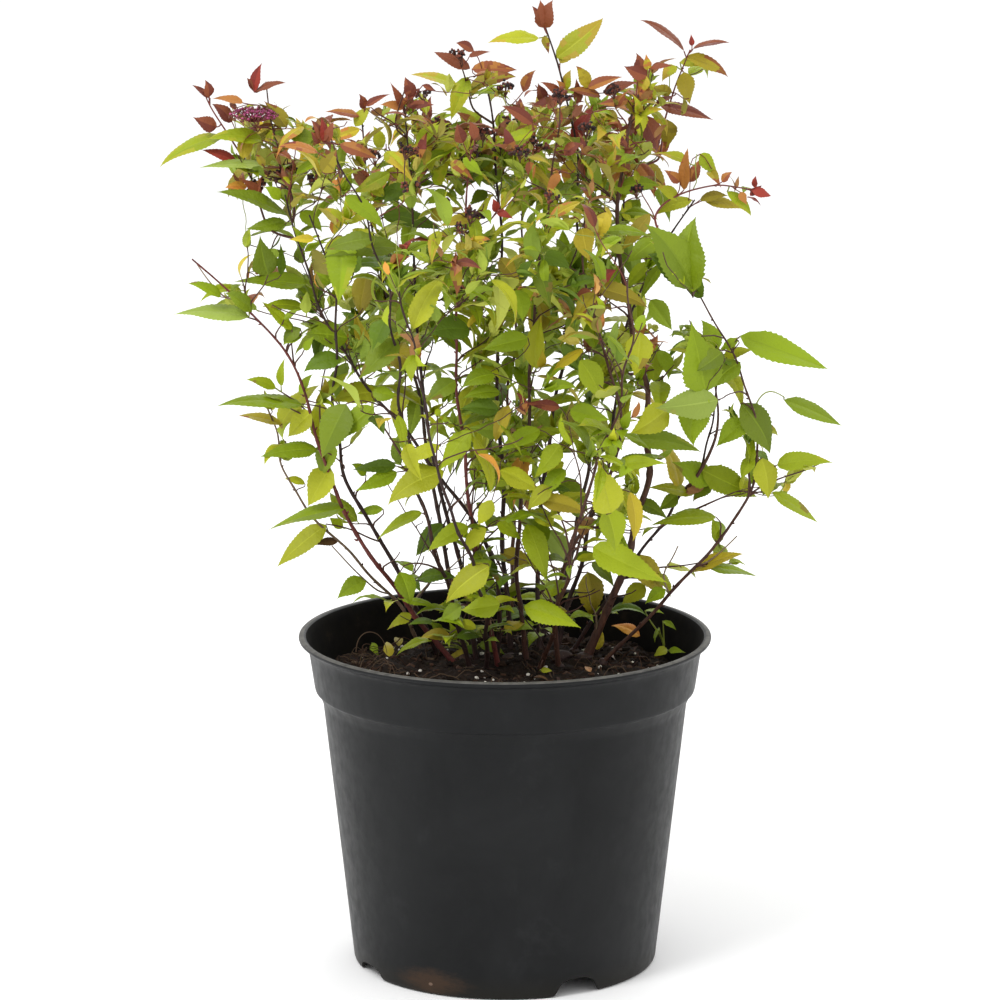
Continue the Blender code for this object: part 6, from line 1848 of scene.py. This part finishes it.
# ------------------------------------------------------------------ pieces of the object
SOIL_MAT = soil_material()
CRUMB_MATS = [SOIL_MAT, plain("crumb_dark", srgb(26, 19, 15), 0.95, 0.15), plain("crumb_brown", srgb(48, 33, 25), 0.9, 0.15),
              plain("chip_brown", srgb(66, 45, 33), 0.85, 0.2), plain("chip_red", srgb(54, 35, 28), 0.85, 0.2),
              plain("fibre_tan", srgb(78, 62, 48), 0.85, 0.2), plain("perlite", srgb(214, 208, 198), 0.8, 0.3)]
TWIG_MATS = [plain("twig_dark", srgb(58, 40, 36), 0.6), plain("twig_brown", srgb(76, 46, 36), 0.6), plain("twig_red", srgb(108, 48, 40), 0.55),
             plain("twig_green", srgb(132, 142, 56), 0.5), plain("twig_grey", srgb(128, 108, 86), 0.7), plain("twig_black", srgb(34, 26, 26), 0.7)]
SEED_MATS = [plain("seed_stalk", srgb(98, 62, 50), 0.7), plain("seed_brown", srgb(64, 38, 34), 0.75), plain("seed_dark", srgb(38, 26, 26), 0.75),
             plain("seed_rust", srgb(118, 62, 46), 0.7)]
FLOWER_MATS = [plain("petal_pink", srgb(176, 78, 124), 0.55), plain("petal_deep", srgb(140, 48, 92), 0.55), plain("flower_stalk", srgb(124, 58, 58), 0.6), plain("flower_spent", srgb(104, 62, 50), 0.7)]

pot_piece = pot
soil_piece = SOIL.make("soil_surface", [SOIL_MAT])
crumb_piece = CRUMBS.make("soil_crumbs", CRUMB_MATS, smooth=False)
stem_pieces = {k: p.make("stems_%s" % k, [BARK[k]]) for k, p in STEM_PILES.items() if p.n}
twig_piece = TWIGS["twig"].make("twigs_and_leafstalks", TWIG_MATS)
seed_piece = SEEDS.make("seed_heads", SEED_MATS)
flower_piece = FLOWER.make("flower_cluster", FLOWER_MATS)
leaf_pieces = {g: p.make(g, LEAF_MATS[g], groups=True) for g, p in LEAVES.items()}

everything = [pot_piece, soil_piece, crumb_piece, twig_piece, seed_piece, flower_piece, *stem_pieces.values(), *leaf_pieces.values()]
for piece in everything:
    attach(piece, "root")
    print(piece.name, "triangles", sum(len(q.vertices) - 2 for q in piece.data.polygons))

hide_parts("pot")
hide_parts("potting_soil")
stem_nodes = {}
for name, spec in STEMS.items():
    stem_nodes.setdefault(spec[10], []).append(name)
stem_nodes["dark"].append("root_crown")
for kind, piece in stem_pieces.items():
    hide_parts(*stem_nodes[kind])
foliage = [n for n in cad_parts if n.startswith("foliage_")]
for piece in [*leaf_pieces.values(), twig_piece, seed_piece]:
    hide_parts(*foliage)

# ------------------------------------------------------------------ floor, light, camera
me = bpy.data.meshes.new("floor")
me.from_pydata([(-30, -30, -0.0004), (30, -30, -0.0004), (30, 30, -0.0004), (-30, 30, -0.0004)], [], [(0, 1, 2, 3)])
me.materials.append(plain("floor_white", (0.96, 0.96, 0.96), 0.9, 0.1))
floor = bpy.data.objects.new("floor", me)
bpy.context.scene.collection.objects.link(floor)

bpy.context.scene.view_settings.view_transform = "Standard"
bpy.context.scene.view_settings.look = "None"

world = bpy.data.worlds.new("world")
bpy.context.scene.world = world
world.use_nodes = True
world.node_tree.nodes["Background"].inputs[0].default_value = (1.0, 1.0, 1.0, 1.0)
world.node_tree.nodes["Background"].inputs[1].default_value = 1.12


def area(name, at, size, watts, look=(0, 0, 0.35)):
    li = bpy.data.lights.new(name, "AREA")
    li.shape, li.size, li.energy = "DISK", size, watts
    ob = bpy.data.objects.new(name, li)
    ob.location = at
    ob.rotation_euler = (Vector(look) - Vector(at)).to_track_quat("-Z", "Y").to_euler()
    bpy.context.scene.collection.objects.link(ob)
    return ob


area("key", (-1.5, -1.7, 2.6), 1.1, 41)
area("fill", (1.9, -1.6, 1.2), 1.6, 2.5)
area("back", (0.6, 2.2, 2.0), 1.6, 14)

cam = bpy.data.cameras.new("camera")
cam.lens = CAM_FOCAL * 36.0 / 1000.0
cam.sensor_width = 36.0
cam.clip_start, cam.clip_end = 0.05, 200
cam_ob = bpy.data.objects.new("camera", cam)
cam_ob.location = tuple(CAM_AT)
cam_ob.rotation_euler = (math.pi / 2 - CAM_PITCH, 0, 0)
bpy.context.scene.collection.objects.link(cam_ob)
bpy.context.scene.camera = cam_ob

print("cad box", CAD_BOX)
